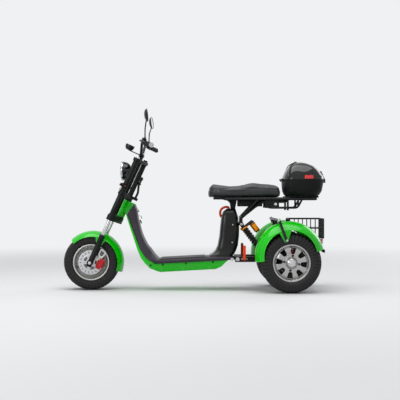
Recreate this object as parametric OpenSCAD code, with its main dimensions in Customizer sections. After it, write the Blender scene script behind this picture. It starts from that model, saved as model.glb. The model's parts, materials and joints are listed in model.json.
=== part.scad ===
// Three-wheeled electric scooter: one steered fat front wheel, two driven rear wheels,
// low footboard, saddle on a column, top box and a wire basket between the rear wheels.
// Millimetres. Z is up, the front points to -X, the left side is -Y, the ground is Z = 0.

/* [Wheels] */
// Distance between the front axle and the rear axle
wheelbase = 1538; // [1480:1:1640]
// Outside diameter of the front tyre
front_tyre_d = 434; // [426:1:446]
// Width of the front tyre
front_tyre_w = 200; // [180:1:204]
// Outside diameter of a rear tyre
rear_tyre_d = 457; // [440:1:470]
// Width of a rear tyre
rear_tyre_w = 205; // [185:1:207]
// Distance between the middles of the rear tyres
rear_track = 540; // [536:1:580]
// Bead seat diameter of all three rims
rim_bead_d = 254; // [252:1:258]
// Height of the rim flange over the bead seat
rim_flange_h = 14; // [10:0.5:16]
// Width of the front rim between its flanges
front_rim_w = 150; // [140:1:156]
// Width of a rear rim between its flanges
rear_rim_w = 158; // [148:1:164]
// Windows in a rear rim
rim_windows = 8; // [6:1:9]
// Wheel bolts of a rear rim
lug_count = 4; // [3:1:6]
// Pitch circle of the wheel bolts
lug_pcd = 110; // [100:1:116]
// Diameter of the front axle
front_axle_d = 15; // [12:1:17]
// Diameter of the rear stub axles
rear_axle_d = 25; // [20:1:28]
// Diameter of the front brake disc
front_disc_d = 190; // [180:1:196]
// Diameter of the rear brake discs
rear_disc_d = 170; // [150:1:174]
// Thickness of the brake discs
disc_t = 4; // [3:0.5:5]

/* [Fork and steering] */
// Lean of the fork from the vertical, in degrees
rake = 24.5; // [23.5:0.5:25.5]
// Distance between the two fork legs
fork_spread = 292; // [290:1:300]
// Distance of the steering axis behind the fork legs
stem_offset = 55; // [50:1:60]
// Diameter of the lower fork legs
slider_d = 42; // [38:1:44]
// Length of the lower fork legs above the axle
slider_len = 228; // [215:1:240]
// Diameter of the bright fork tubes
stanchion_d = 32; // [28:1:34]
// Diameter of the black tubes between the yokes
shroud_d = 44; // [40:1:46]
// Height of the lower yoke along the fork
lower_yoke_at = 362; // [352:1:370]
// Thickness of the lower yoke
lower_yoke_t = 44; // [36:1:46]
// Height of the middle yoke along the fork
middle_yoke_at = 578; // [574:1:590]
// Thickness of the middle yoke
middle_yoke_t = 22; // [18:1:26]
// Height of the upper yoke along the fork
upper_yoke_at = 862; // [850:1:874]
// Thickness of the upper yoke
upper_yoke_t = 26; // [22:1:30]
// Diameter of the steering stem
stem_d = 40; // [36:1:42]
// Outside diameter of the head tube
head_tube_d = 58; // [54:1:62]

/* [Handlebar] */
// Diameter of the handlebar tube
bar_d = 22; // [20:1:24]
// Rise of the handlebar over its clamps
bar_rise = 94; // [80:1:105]
// Half width of the handlebar over its ends
bar_half_w = 388; // [370:1:400]
// Distance that the grips sweep back
bar_sweep = 86; // [70:1:95]
// Diameter of the grips
grip_d = 33; // [30:1:36]
// Length of the grips
grip_len = 118; // [110:1:122]
// Length of the brake levers
lever_len = 150; // [135:1:160]
// Diameter of the mirrors
mirror_d = 100; // [86:1:110]
// Height of the mirrors over the ground
mirror_z = 1340; // [1320:1:1360]

/* [Lamps and display] */
// Diameter of the headlamp over its ring
headlamp_d = 156; // [144:1:164]
// Height of the headlamp over the ground
headlamp_z = 932; // [920:1:945]
// Diameter of the display pod
pod_d = 74; // [66:1:84]
// Height of the display pod
pod_h = 44; // [38:1:50]
// Diameter of the horn
horn_d = 70; // [60:1:78]

/* [Deck and leg shield] */
// Half width of the footboard
deck_half_w = 150; // [140:1:165]
// Height of the footboard at its front end
deck_front_z = 241; // [236:1:248]
// Height of the footboard at the seat column
deck_rear_z = 262; // [254:1:270]
// Thickness of the footboard at its front end
board_t = 32; // [26:1:36]
// Depth of the belly pan under the footboard
pan_depth = 66; // [56:1:74]
// Half width of the leg shield at its top
shield_top_half_w = 84; // [76:1:96]
// Half width of the leg shield at its bottom
shield_low_half_w = 140; // [120:1:150]
// Thickness of the rubber mat
mat_t = 4; // [3:0.5:6]

/* [Seat] */
// Length of the seat
seat_len = 557; // [540:1:575]
// Width of the seat at the rider
seat_w = 280; // [260:1:300]
// Height of the seat's underside
seat_base_z = 724; // [720:1:732]
// Thickness of the seat at the rider
seat_t = 92; // [84:1:104]
// Diameter of the seat rails
rail_d = 24; // [20:1:25]
// Distance between the seat rails
rail_spread = 232; // [224:1:240]

/* [Luggage] */
// Length of the top box
box_len = 320; // [310:1:330]
// Width of the top box
box_w = 380; // [360:1:410]
// Height of the lower half of the box
box_base_h = 128; // [120:1:138]
// Height of the lid
box_lid_h = 134; // [120:1:148]
// Wall of the top box
box_wall = 4; // [3:0.5:5]
// Half width of the rear basket
basket_half_w = 146; // [138:1:147]
// Length of the rear basket
basket_len = 270; // [250:1:275]
// Height of the rear basket
basket_h = 148; // [138:1:158]
// Thickness of the basket bars
basket_bar = 7; // [6:0.5:9]

/* [Rear end] */
// Distance from the rear axle to the rearmost latch
rear_reach = 297; // [292:1:310]
// Length of the shock absorbers between their eyes
shock_len = 281.2; // [272:0.2:286]
// Distance between the two shock absorbers
shock_spread = 190; // [184:1:196]
// Outside diameter of the shock springs
spring_d = 54; // [48:1:56]
// Turns of the shock springs
spring_turns = 8; // [6:1:9]
// Length of the folding footpegs
peg_len = 118; // [100:1:122]

/* [Fenders] */
// Gap between the front tyre and its fender crown
front_fender_gap = 24; // [20:1:30]
// Half width of the front fender
front_fender_half_w = 112; // [111:0.5:114]
// Thickness of the fenders
fender_t = 3; // [2:0.5:4]
// Gap between a rear tyre and its fender crown
rear_fender_gap = 26; // [24:1:34]
// Half width of a rear fender
rear_fender_half_w = 114; // [113:0.5:116]
// Height of the rear fender's middle over the axle
rear_fender_lift = 49; // [45:1:56]

/* [Hidden] */
fit = 0.05;
seat_gap = 0.2;
front_r = front_tyre_d / 2;
rear_r = rear_tyre_d / 2;
fax = (front_r - rear_reach - wheelbase) / 2;
faz = front_r;
rax = fax + wheelbase;
raz = rear_r;
bead_r = rim_bead_d / 2;
leg_y = fork_spread / 2;
lower_yoke_top = lower_yoke_at + lower_yoke_t;
head_from = lower_yoke_top + 9;
head_to = middle_yoke_at - 24;
upper_yoke_top = upper_yoke_at + upper_yoke_t;
bar_w = upper_yoke_top + 32;
bar_u = 8;
deck_front_x = fax + 524;
deck_rear_x = rax - 619;
column_back_x = rax - 429;
deck_slope = (deck_rear_z - deck_front_z) / (deck_rear_x - deck_front_x);
rail_z = seat_base_z - rail_d / 2;
rail_y = rail_spread / 2;
box_x0 = rax - 41;
box_z0 = 734;
box_seam_z = box_z0 + box_base_h;
seat_box_gap = 24;
pin_gap = 0.25;
hinge = [box_x0 - 9, 0, box_seam_z + 1];
disc_y = -(front_rim_w / 2 + 30 + seat_gap);
$fn = 48;

// Side view height of the joint line between footboard and belly pan.
function pan_top(x) = deck_front_z - board_t + deck_slope * (x - deck_front_x);
// Point given along the fork: u behind the legs, y across, w up the legs.
function fork_pt(u, y, w) =
    [fax + u * cos(rake) + w * sin(rake), y, faz - u * sin(rake) + w * cos(rake)];
function unit(v) = v / norm(v);
function sgn(v) = v < 0 ? -1 : 1;
// Closed rounded outline at height z; e sets how square it is.
function ring(z, x0, x1, half, e, n = 28) = [
    for (i = [0:n - 1])
        let (t = 360 * (i + 0.5) / n, c = cos(t), s = sin(t))
        [(x0 + x1) / 2 + (x1 - x0) / 2 * sgn(c) * pow(abs(c), 2 / e),
         half * sgn(s) * pow(abs(s), 2 / e), z]];
// Points of a circular corner at p between a and b.
function corner(a, p, b, r, n) =
    let (d1 = unit(p - a), d2 = unit(b - p), turn = acos(d1 * d2),
         axis = unit(cross(d1, d2)), out = unit(cross(d1, axis)),
         start = p - d1 * r * tan(turn / 2), mid = start - out * r)
    [for (i = [0:n]) mid + r * (out * cos(turn * i / n) + d1 * sin(turn * i / n))];
// Polyline with all its inner corners rounded.
function smooth_path(pts, r, n = 5) = [
    pts[0],
    for (i = [1:len(pts) - 2]) each corner(pts[i - 1], pts[i], pts[i + 1], r, n),
    pts[len(pts) - 1]];

module on_fork() translate([fax, 0, faz]) rotate([0, rake, 0]) children();
module across(y0, y1) translate([0, y1, 0]) rotate([90, 0, 0]) linear_extrude(y1 - y0) children();
module both_sides() {
    children();
    mirror([0, 1, 0]) children();
}
module rod(a, b, r) {
    d = b - a;
    translate(a) rotate([0, acos(d[2] / norm(d)), atan2(d[1], d[0])]) cylinder(r = r, h = norm(d));
}
// Solid between outlines of equal point count, stacked upwards.
module loft(rings) {
    n = len(rings[0]);
    m = len(rings);
    points = [for (r = rings) each r];
    sides = [for (j = [0:m - 2], i = [0:n - 1])
        let (a = j * n + i, b = j * n + (i + 1) % n) each [[a, a + n, b + n], [a, b + n, b]]];
    bottom = [for (i = [0:n - 1]) i];
    top = [for (i = [0:n - 1]) m * n - 1 - i];
    polyhedron(points, concat([bottom], sides, [top]));
}
// Round bar along a path; up is any direction that the path never takes.
module sweep(path, r, up = [0, 1, 0], n = 10) {
    m = len(path);
    tangents = [for (i = [0:m - 1])
        unit(path[min(i + 1, m - 1)] - path[max(i - 1, 0)])];
    loft([for (i = [0:m - 1])
        let (t = tangents[i], a = unit(cross(up, t)), b = cross(t, a))
        [for (k = [0:n - 1]) path[i] + r * (a * cos(360 * k / n) + b * sin(360 * k / n))]]);
}

// Tyre cross-section as radius and half width; the bead stands between the rim's flanges.
module tyre(d, w, rim_w) {
    r = d / 2;
    half = w / 2;
    foot = rim_w / 2 - 0.3;
    edge = bead_r + rim_flange_h + 0.8;
    wide = edge + 0.42 * (r - edge);
    side = concat(
        [[bead_r + seat_gap, foot]],
        [for (s = [0:15:90]) [edge + (wide - edge) * (1 - cos(s)), foot + (half - foot) * sin(s)]],
        [for (t = [78:-12:6])
            [wide + (r - wide) * pow(cos(t), 0.5), half * pow(sin(t), 0.62)]]);
    other = [for (i = [len(side) - 1:-1:0]) [side[i][0], -side[i][1]]];
    rotate([-90, 0, 0]) rotate_extrude($fn = 96) polygon(concat(side, [[r, 0]], other));
}
// Rim barrel with both flanges.
module barrel(rim_w) {
    half = rim_w / 2;
    lip = bead_r + rim_flange_h;
    rotate([-90, 0, 0]) rotate_extrude($fn = 96) polygon([
        [bead_r - 4, half - 4], [bead_r + 5, half + 7], [lip, half + 7], [lip, half], [bead_r, half],
        [bead_r, half - 22], [bead_r - 14, half - 34], [bead_r - 14, -half + 34],
        [bead_r, -half + 22], [bead_r, -half], [lip, -half], [lip, -half - 7], [bead_r + 5, -half - 7],
        [bead_r - 4, -half + 4], [bead_r - 4, -half + 22], [bead_r - 18, -half + 36],
        [bead_r - 18, half - 36], [bead_r - 4, half - 22]]);
}
module on_rear_wheel(side) {
    translate([rax, side * rear_track / 2, raz]) rotate([0, 0, side > 0 ? 0 : 180]) children();
}
module rear_tyre(side) color("#202022") on_rear_wheel(side) tyre(rear_tyre_d, rear_tyre_w, rear_rim_w);
// Wheel face: a dished disc with windows out to the barrel, bolt wells and a hub cap.
window_to = bead_r - 10;
module rear_rim(side) color("#c9ccd0") on_rear_wheel(side) {
    face = rear_rim_w / 2 - 24;
    difference() {
        union() {
            barrel(rear_rim_w);
            rotate([-90, 0, 0]) rotate_extrude($fn = 96) polygon([
                [0, face], [bead_r - 2, face], [bead_r - 2, face + 7], [bead_r - 26, face + 16], [46,
                    face + 16],
                [40, face + 12], [36, face + 16], [33, face + 30], [24, face + 35], [0, face + 35]]);
            translate([0, -24, 0]) rotate([-90, 0, 0]) cylinder(r = 44, h = face + 26);
            translate([0, -24 - disc_t, 0]) rotate([-90, 0, 0]) cylinder(d = rear_disc_d, h = disc_t + 1);
        }
        for (i = [0:rim_windows - 1]) rotate([0, -6.7 + 360 * i / rim_windows, 0])
            translate([0, face - 1, 0]) rotate([-90, 0, 0]) linear_extrude(30)
                polygon(concat([[window_to, -23], [window_to, 23]],
                    [for (a = [90:20:270]) [84 + 17 * cos(a), 17 * sin(a)]]));
        for (i = [0:lug_count - 1]) rotate([0, 82 + 360 * i / lug_count, 0])
            translate([lug_pcd / 2, face + 5, 0]) rotate([-90, 0, 0]) cylinder(r = 8.5, h = 30);
        translate([0, -60, 0]) rotate([-90, 0, 0]) cylinder(d = rear_axle_d + 2 * fit, h = 60 + face);
    }
    for (i = [0:lug_count - 1]) rotate([0, 82 + 360 * i / lug_count, 0])
        translate([lug_pcd / 2, face + 4, 0]) rotate([-90, 0, 0]) cylinder(r = 6.5, h = 8, $fn = 6);
}
module rear_tyre_left() rear_tyre(-1);
module rear_tyre_right() rear_tyre(1);
module rear_rim_left() rear_rim(-1);
module rear_rim_right() rear_rim(1);

module front_tyre() color("#202022") translate([fax, 0, faz]) tyre(front_tyre_d, front_tyre_w, front_rim_w);
module front_rim() color("#c9ccd0") translate([fax, 0, faz]) difference() {
    union() {
        barrel(front_rim_w);
        rotate([-90, 0, 0]) rotate_extrude($fn = 96) polygon([
            [0, -front_rim_w / 2 - 30], [34, -front_rim_w / 2 - 30], [38, -44], [70, -42], [100, -46],
            [bead_r - 2, 5 - front_rim_w / 2], [bead_r - 2, 17 - front_rim_w / 2], [100, -34], [70,
                -30], [38, 6],
            [30, front_rim_w / 2 + 30], [0, front_rim_w / 2 + 30]]);
    }
    rotate([90, 0, 0]) cylinder(d = front_axle_d + 2 * fit, h = 400, center = true);
}
// Slotted disc on a five-armed carrier.
module front_disc() color("#aeb1b5") translate([fax, disc_y, faz]) rotate([90, 0, 0]) difference() {
    union() {
        cylinder(d = front_disc_d, h = disc_t);
        cylinder(r = 61, h = disc_t + 2);
        cylinder(r = 29, h = disc_t + 5);
    }
    translate([0, 0, -1]) cylinder(d = front_axle_d + 8, h = 20);
    for (i = [0:4]) rotate([0, 0, 72 * i]) translate([0, 0, -1]) linear_extrude(20)
        polygon([[33, -9], [51, -21], [55, -12], [55, 12], [51, 21], [33, 9]]);
    for (i = [0:17]) rotate([0, 0, 20 * i]) translate([front_disc_d / 2 - 17, 0, -1]) rotate([0, 0, 34])
        translate([-9, -2.5, 0]) cube([18, 5, 20]);
}

module front_axle() color("#b9bcc0") translate([fax, 0, faz]) rotate([90, 0, 0]) {
    cylinder(d = front_axle_d, h = 2 * leg_y + 64, center = true);
    for (s = [-1, 1]) translate([0, 0, s * (leg_y + 28.5)]) cylinder(r = 13, h = 10, center = true, $fn = 6);
}
// Lower fork legs with the axle lug, the fender boss and the caliper lug.
module fork_sliders() color("#17181a") on_fork() for (s = [-1, 1]) difference() {
    union() {
        translate([0, s * leg_y, -30]) cylinder(d = slider_d, h = slider_len + 30);
        translate([0, s * leg_y, slider_len - 14]) cylinder(d = slider_d + 5, h = 14);
        translate([0, s * (leg_y + 1), 0]) rotate([90, 0, 0]) cylinder(r = 24, h = 44, center = true);
        translate([-4, s * (leg_y - 17), 142]) rotate([90, 0, 0]) cylinder(r = 9, h = 40, center = true);
        if (s < 0) translate([0, -leg_y + 10, 70]) cube([30, 10, 62]);
    }
    translate([0, s * leg_y, 60]) cylinder(d = stanchion_d + 2 * fit, h = slider_len);
    rotate([90, 0, 0]) cylinder(d = front_axle_d + 2 * fit, h = 600, center = true);
    translate([-40, s * (front_fender_half_w + seat_gap - 60) - 60, 120]) cube([80, 120, 44]);
}
module fork_stanchions() color("#dfe2e5") on_fork() for (s = [-1, 1])
    translate([0, s * leg_y, 62]) cylinder(d = stanchion_d, h = upper_yoke_top + 6 - 62);
module fork_shrouds() color("#141416") on_fork() for (s = [-1, 1], part = [0, 1])
    let (from = [lower_yoke_top, middle_yoke_at + middle_yoke_t][part],
        to = [middle_yoke_at, upper_yoke_at][part])
    translate([0, s * leg_y, from + seat_gap]) difference() {
        cylinder(d = shroud_d, h = to - from - 2 * seat_gap);
        translate([0, 0, -1]) cylinder(d = stanchion_d + 2 * fit, h = to - from + 2);
    }
// Plan of a yoke: two leg eyes joined by a bridge that reaches back to the stem.
module yoke_plan(eye, back) {
    for (s = [-1, 1]) translate([0, s * leg_y]) circle(r = eye);
    polygon([[-18, -leg_y], [20, -leg_y], [back, -30], [back, 30], [20, leg_y], [-18, leg_y]]);
}
module leg_holes(from, t) for (s = [-1, 1])
    translate([0, s * leg_y, from - 1]) cylinder(d = stanchion_d + 2 * fit, h = t + 2);
module lower_yoke() color("#141416") on_fork() {
    difference() {
        translate([0, 0, lower_yoke_at]) linear_extrude(lower_yoke_t) yoke_plan(30, stem_offset + 30);
        leg_holes(lower_yoke_at, lower_yoke_t);
    }
    translate([stem_offset, 0, lower_yoke_top - 2])
        cylinder(d = stem_d, h = upper_yoke_at - lower_yoke_top + 2 - seat_gap);
    translate([stem_offset, 0, lower_yoke_top - 2]) cylinder(r = head_tube_d / 2, h = 10);
}
module middle_yoke() color("#1b1c1e") on_fork() difference() {
    union() {
        translate([0, 0, middle_yoke_at]) linear_extrude(middle_yoke_t) yoke_plan(29, stem_offset + 26);
        translate([stem_offset, 0, head_to + 1]) cylinder(r = head_tube_d / 2 + 2,
            h = middle_yoke_at - head_to + 1);
        translate([stem_offset + 22, -13, middle_yoke_at]) cube([46, 26, middle_yoke_t]);
    }
    leg_holes(middle_yoke_at, middle_yoke_t);
    translate([stem_offset, 0, head_to - 5]) cylinder(d = stem_d + 2 * fit, h = 120);
}
// Upper yoke with the two handlebar risers.
module upper_yoke() color("#17181a") on_fork() difference() {
    union() {
        translate([0, 0, upper_yoke_at]) linear_extrude(upper_yoke_t) yoke_plan(29, stem_offset + 26);
        translate([stem_offset, 0, upper_yoke_top - 1]) cylinder(r = 17, h = 13, $fn = 6);
        for (s = [-1, 1]) translate([0, s * 40, 0]) {
            translate([bar_u - 15, -14, upper_yoke_top - 1]) cube([30, 28, bar_w - upper_yoke_top]);
            translate([bar_u, 0, bar_w]) rotate([90, 0, 0]) cylinder(r = bar_d / 2 + 8, h = 28,
                center = true);
        }
    }
    leg_holes(upper_yoke_at, upper_yoke_t);
    translate([bar_u, 0, bar_w]) rotate([90, 0, 0]) cylinder(d = bar_d + 2 * fit, h = 300, center = true);
}

// Wiring sleeve: from the back of the stem down into the middle yoke.
loom_r = 9;
loom_u = stem_offset + stem_d / 2 + loom_r + 0.4;
module loom() color("#161618") on_fork() sweep(smooth_path([
    [loom_u, 0, middle_yoke_at + 190], [loom_u, 0, middle_yoke_at + 120], [loom_u + 18, 0,
        middle_yoke_at + 66],
    [loom_u + 18, 0, middle_yoke_at + middle_yoke_t + seat_gap]], 40, 5), loom_r, [0, 1, 0], 12);
bar_turn = [-16, bar_half_w - 188, bar_w + bar_rise];
bar_tip = [bar_turn[0] + bar_sweep, bar_half_w - 6, bar_turn[2] + 4];
grip_dir = unit(bar_tip - bar_turn);
// Frame on a grip: origin inside the grip, x' out along the bar, y' forward, z' up.
grip_fore = unit(cross([0, 0, 1], grip_dir));
grip_up = cross(grip_dir, grip_fore);
module on_grip(s) on_fork() mirror([0, s < 0 ? 1 : 0, 0]) translate(bar_tip)
    multmatrix([for (i = [0:2]) [grip_dir[i], grip_fore[i], grip_up[i], 0]]) children();
function grip_pt(x, y, z) =
    let (p = bar_tip + x * grip_dir + y * grip_fore + z * grip_up) fork_pt(p[0], p[1], p[2]);
grip_from = -grip_len - 2 - seat_gap;
module handlebar() color("#17181a") {
    half = smooth_path([[bar_u, 70, bar_w], bar_turn, bar_tip], 45, 6);
    left = [for (i = [len(half) - 1:-1:0]) [half[i][0], -half[i][1], half[i][2]]];
    on_fork() sweep(concat(left, half), bar_d / 2 - 0.4, [0, 0, 1], 16);
    for (s = [-1, 1]) on_grip(s) translate([-2, 0, 0]) rotate([0, 90, 0]) cylinder(d = grip_d + 3, h = 9);
}
module grips() color("#131314") for (s = [-1, 1]) on_grip(s) difference() {
    union() {
        translate([grip_from, 0, 0]) rotate([0, 90, 0]) cylinder(d = grip_d, h = grip_len);
        translate([grip_from, 0, 0]) rotate([0, 90, 0]) cylinder(d = grip_d + 8, h = 5);
    }
    translate([grip_from - 5, 0, 0]) rotate([0, 90, 0]) cylinder(d = bar_d, h = grip_len + 20);
}
// Brake lever with its perch, switch block and fluid cup.
cup_top = 32;
module brake_levers() color("#1a1b1d") for (s = [-1, 1]) on_grip(s) difference() {
    union() {
        translate([grip_from - 34, 0, 0]) rotate([0, 90, 0]) cylinder(d = bar_d + 14, h = 32);
        translate([grip_from - 32, -16, -9]) cube([28, 40, 18]);
        translate([grip_from - 34, 4, 8]) cube([34, 26, cup_top - 8]);
        translate([grip_from - 20, 0, -5]) linear_extrude(10) polygon([
            [-6, 14], [8, 14], [22, 40], [40, 50], [lever_len - 8, 46], [lever_len, 50],
            [lever_len - 4, 60], [lever_len - 14, 58], [36, 62], [8, 52]]);
    }
    translate([grip_from - 50, 0, 0]) rotate([0, 90, 0]) cylinder(d = bar_d, h = 80);
}

mirror_boss = [grip_from - 17, 17, cup_top + seat_gap];
mirror_foot = grip_pt(mirror_boss[0], mirror_boss[1], mirror_boss[2] + 4);
mirror_at = [fax + 452, bar_half_w - 46, mirror_z];
module on_mirror(s) mirror([0, s < 0 ? 1 : 0, 0]) translate(mirror_at) rotate([0, 84, -8]) children();
module mirrors() color("#141416") for (s = [-1, 1]) union() {
    mirror([0, s < 0 ? 1 : 0, 0]) {
        rod(mirror_foot, mirror_foot + [2, 14, 70], 5);
        translate(mirror_foot + [2, 14, 70]) sphere(r = 5.6);
        rod(mirror_foot + [2, 14, 70], mirror_at - [6, 0, mirror_d / 2 - 6], 5);
    }
    on_grip(s) translate(mirror_boss) cylinder(r = 8, h = 11);
    on_mirror(s) rotate_extrude() polygon([
        [0, -22], [mirror_d * 0.22, -20], [mirror_d * 0.4, -13], [mirror_d / 2, 0], [mirror_d / 2, 4],
        [mirror_d / 2 - 4, 4], [mirror_d / 2 - 4, 1], [0, 1]]);
}
module mirror_glass() color("#aab4bd") for (s = [-1, 1])
    on_mirror(s) translate([0, 0, 1 + fit]) cylinder(d = mirror_d - 9, h = 2);

// The headlamp looks straight ahead; its middle lies between the fork legs.
lamp_x = fax + 245;
module on_lamp() translate([lamp_x, 0, headlamp_z]) rotate([0, -90, 0]) children();
module headlamp_bucket() color("#121214") {
    on_lamp() rotate_extrude() polygon([
        [0, -64], [26, -62], [48, -54], [64, -38], [headlamp_d / 2 - 6, -14], [headlamp_d / 2 - 4, 0],
        [headlamp_d / 2 - 14, 0], [headlamp_d / 2 - 18, -16], [40, -44], [0, -52]]);
    for (s = [-1, 1]) {
        lug = fork_pt(0, s * leg_y, (headlamp_z - faz) / cos(rake));
        difference() {
            union() {
                translate([lamp_x + 20, s * (headlamp_d / 2 - 12) - 10, headlamp_z - 10]) cube([10, 20, 20]);
                translate([lamp_x + 20, s * (headlamp_d / 2 + leg_y) / 2, headlamp_z])
                    translate([0, -(leg_y - headlamp_d / 2) / 2 - 8, -10]) cube([8,
                        leg_y - headlamp_d / 2 + 16, 20]);
                translate([lamp_x + 20, s * leg_y - 12, headlamp_z - 10]) cube([lug[0] - lamp_x - 20,
                    24, 20]);
            }
            on_fork() translate([0, s * leg_y, 0]) cylinder(d = shroud_d + 2 * fit, h = 1200);
            on_lamp() translate([0, 0, -16]) cylinder(r = headlamp_d / 2 - 18, h = 60);
        }
    }
}
module headlamp_ring() color("#e3e5e8") on_lamp() translate([0, 0, seat_gap]) rotate_extrude() polygon([
    [headlamp_d / 2 - 14, 0], [headlamp_d / 2 - 3, 0], [headlamp_d / 2, 7], [headlamp_d / 2 - 4, 16],
    [headlamp_d / 2 - 10, 17], [headlamp_d / 2 - 14, 10]]);
module headlamp_lens() color("#dfe6ea") on_lamp() rotate_extrude() polygon([
    [0, 26], [headlamp_d / 2 - 42, 24], [headlamp_d / 2 - 24, 17], [headlamp_d / 2 - 14.3, 8],
    [headlamp_d / 2 - 14.3, 4], [headlamp_d / 2 - 26, 13], [headlamp_d / 2 - 44, 20], [0, 22]]);
module display() color("#131315") on_fork() {
    translate([-106, 0, bar_w + 42 - pod_h]) rotate_extrude() polygon([
        [0, 0], [pod_d * 0.3, 2], [pod_d * 0.44, 14], [pod_d / 2, 30], [pod_d / 2, pod_h],
        [pod_d / 2 - 4, pod_h], [pod_d / 2 - 5, pod_h - 4], [0, pod_h - 4]]);
    translate([-100, -14, bar_w - 4]) cube([80, 28, 8]);
    translate([-30, -52, bar_w - 4]) cube([30 + bar_u - bar_d / 2 - 8 - seat_gap, 104, 8]);
}
module horn() color("#d4d7da") on_fork() translate([-20, 0, 632]) {
    rotate([0, -90, 0]) cylinder(d = horn_d, h = 22);
    translate([-2, -10, middle_yoke_at + middle_yoke_t + seat_gap - 632]) cube([20, 20, 50]);
}
module front_signals() color("#1a1a1b") on_fork() for (s = [-1, 1]) {
    difference() {
        union() {
            translate([0, s * leg_y, 640]) cylinder(d = shroud_d + 8, h = 22);
            translate([-10, s * (leg_y + 30) - 9, 646]) cube([16, 18, 10]);
            translate([-36, s * (leg_y + 40) - 17, 640]) cube([38, 34, 24]);
        }
        translate([0, s * leg_y, 600]) cylinder(d = shroud_d + 2 * fit, h = 100);
    }
}

// Fender: an arc of crescent section about a wheel, with rounded ends.
module fender_arc(crown, edge, half, from, to) {
    sag = crown - edge;
    bow = (half * half + sag * sag) / (2 * sag);
    rotate([90, 0, 0]) rotate([0, 0, from]) rotate_extrude(angle = to - from, $fn = 120)
        intersection() {
            translate([crown - bow, 0]) difference() {
                circle(r = bow, $fn = 96);
                circle(r = bow - fender_t, $fn = 96);
            }
            translate([edge, -half - 5]) square([sag + 10, 2 * half + 10]);
        }
}
front_crown = front_r + front_fender_gap + fender_t;
front_edge = front_crown - 44;
module front_fender() color("#22c51c") {
    translate([fax + 8, 0, faz]) {
        fender_arc(front_crown, front_edge, front_fender_half_w, -19, 134);
        for (s = [-1, 1]) across(s * (front_fender_half_w - 2) - 2,
            s * (front_fender_half_w - 2) + 2) polygon([
            [front_edge * cos(82), front_edge * sin(82) + 9], [front_edge * cos(55),
                front_edge * sin(55) + 9],
            [132 * cos(62), 132 * sin(62)], [132 * cos(72), 132 * sin(72)]]);
    }
}
// Caliper on the left leg, open around the disc, with its piston housing outside.
caliper_top = 64;
module front_caliper() color("#c00018") on_fork() difference() {
    union() {
        across(-leg_y + 16, -leg_y + 72) polygon([
            [52, -20], [86, -22], [100, -6], [103, 36], [90, caliper_top], [58, caliper_top], [47,
                44], [45, 0]]);
        translate([74, -leg_y + 18, 22]) rotate([90, 0, 0]) cylinder(r1 = 26, r2 = 22, h = 14);
    }
    translate([20, disc_y - disc_t - 6, -40]) cube([78, disc_t + 10, 120]);
    translate([20, -front_rim_w / 2 - 9, -40]) cube([200, 60, 120]);
}
module caliper_bracket() color("#b4b7bb") on_fork() across(-leg_y + 10, -leg_y + 20) difference() {
    polygon([[30 + seat_gap, 80], [30 + seat_gap, 130], [40, 134], [80, 125], [86, 115],
        [68, caliper_top + seat_gap], [60, caliper_top + seat_gap]]);
    polygon([[40, 88], [40, 121], [72, 114], [60, 80]]);
}

// Green frame: head tube, neck and the front skin of the leg shield.
shield_front = [[271, 594], [307, 485], [365, 315], [392, 253], [425, 211]];
shield_joint = [[277, 597], [331, 454], [385, 315], [431, 253], [500, 211]];
neck_side = [[271, 594], [277, 597], [338, 671], [329, 679], [272, 699], [240, 640]];
function from_front(pts) = [for (p = pts) [fax + p[0], p[1]]];
function backwards(pts) = [for (i = [len(pts) - 1:-1:0]) pts[i]];
// Front view of the leg shield, used to trim its sides.
module shield_width(grow) rotate([90, 0, 90]) translate([0, 0, fax]) linear_extrude(700) polygon([
    for (s = [1, -1]) each (s > 0 ? [[shield_low_half_w + grow, 190], [shield_low_half_w - 18 + grow, 300],
        [shield_top_half_w + 14 + grow, 520], [shield_top_half_w + grow, 690]] :
        [[-shield_top_half_w - grow, 690], [-shield_top_half_w - 14 - grow, 520],
         [-shield_low_half_w + 18 - grow, 300], [-shield_low_half_w - grow, 190]])]);
module frame() color("#22c51c") {
    on_fork() difference() {
        union() {
            translate([stem_offset, 0, head_from]) cylinder(d = head_tube_d, h = head_to - head_from);
        }
        translate([stem_offset, 0, 0]) cylinder(d = stem_d + 2 * fit, h = 1000);
    }
    difference() {
        intersection() {
            across(-80, 80) polygon(from_front(neck_side));
            rotate([90, 0, 90]) translate([0, 0, fax]) linear_extrude(700)
                polygon([[-neck_half_w - 30, 590], [neck_half_w + 30, 590], [neck_half_w, 705],
                    [-neck_half_w, 705]]);
        }
        on_fork() translate([stem_offset, 0, 0]) cylinder(r = head_tube_d / 2 - 3, h = 1000);
        on_fork() translate([-200, -200, head_to]) cube([600, 400, 300]);
    }
    intersection() {
        across(-200, 200) polygon(from_front(concat(shield_front, [[428, pan_top(fax + 428) + seat_gap],
            [500, pan_top(fax + 500) + seat_gap]], backwards(shield_joint))));
        shield_width(0);
    }
}
neck_half_w = 34;
// Leg shield, from the deck up. Rows: height of its front edge, rear edge x and z, half width.
shield_rows = [
    [230, 518, 249, 146], [246, 510, 262, 139], [268, 501, 284, 131], [292, 489, 315, 125], [318, 462,
        354, 117],
    [372, 424, 431, 106], [432, 396, 501, 98], [490, 373, 563, 91], [546, 362, 625, 86], [590, 338, 671, 82]];
shield_chamfer = 22;
function joint_x(z) = lookup(z, [for (p = backwards(shield_joint)) [p[1], p[0]]]) + 2 * seat_gap;
function shield_ring(front, back, w) =
    let (band = 0.42 * front + 0.58 * back)
    [[front[0], -w, front[1]], [band[0], -w, band[1]], [back[0], shield_chamfer - w, back[1]],
     [back[0], w - shield_chamfer, back[1]], [band[0], w, band[1]], [front[0], w, front[1]]];
shield_end = [[deck_front_x - seat_gap, pan_top(deck_front_x) + 2 * seat_gap],
    [deck_front_x - seat_gap, deck_front_z]];
module leg_shield() color("#3c3840") loft(concat(
    [shield_ring(shield_end[0], shield_end[1], deck_half_w)],
    [for (r = shield_rows) shield_ring([fax + joint_x(r[0]), r[0]], [fax + r[1], r[2]], r[3])]));
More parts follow.
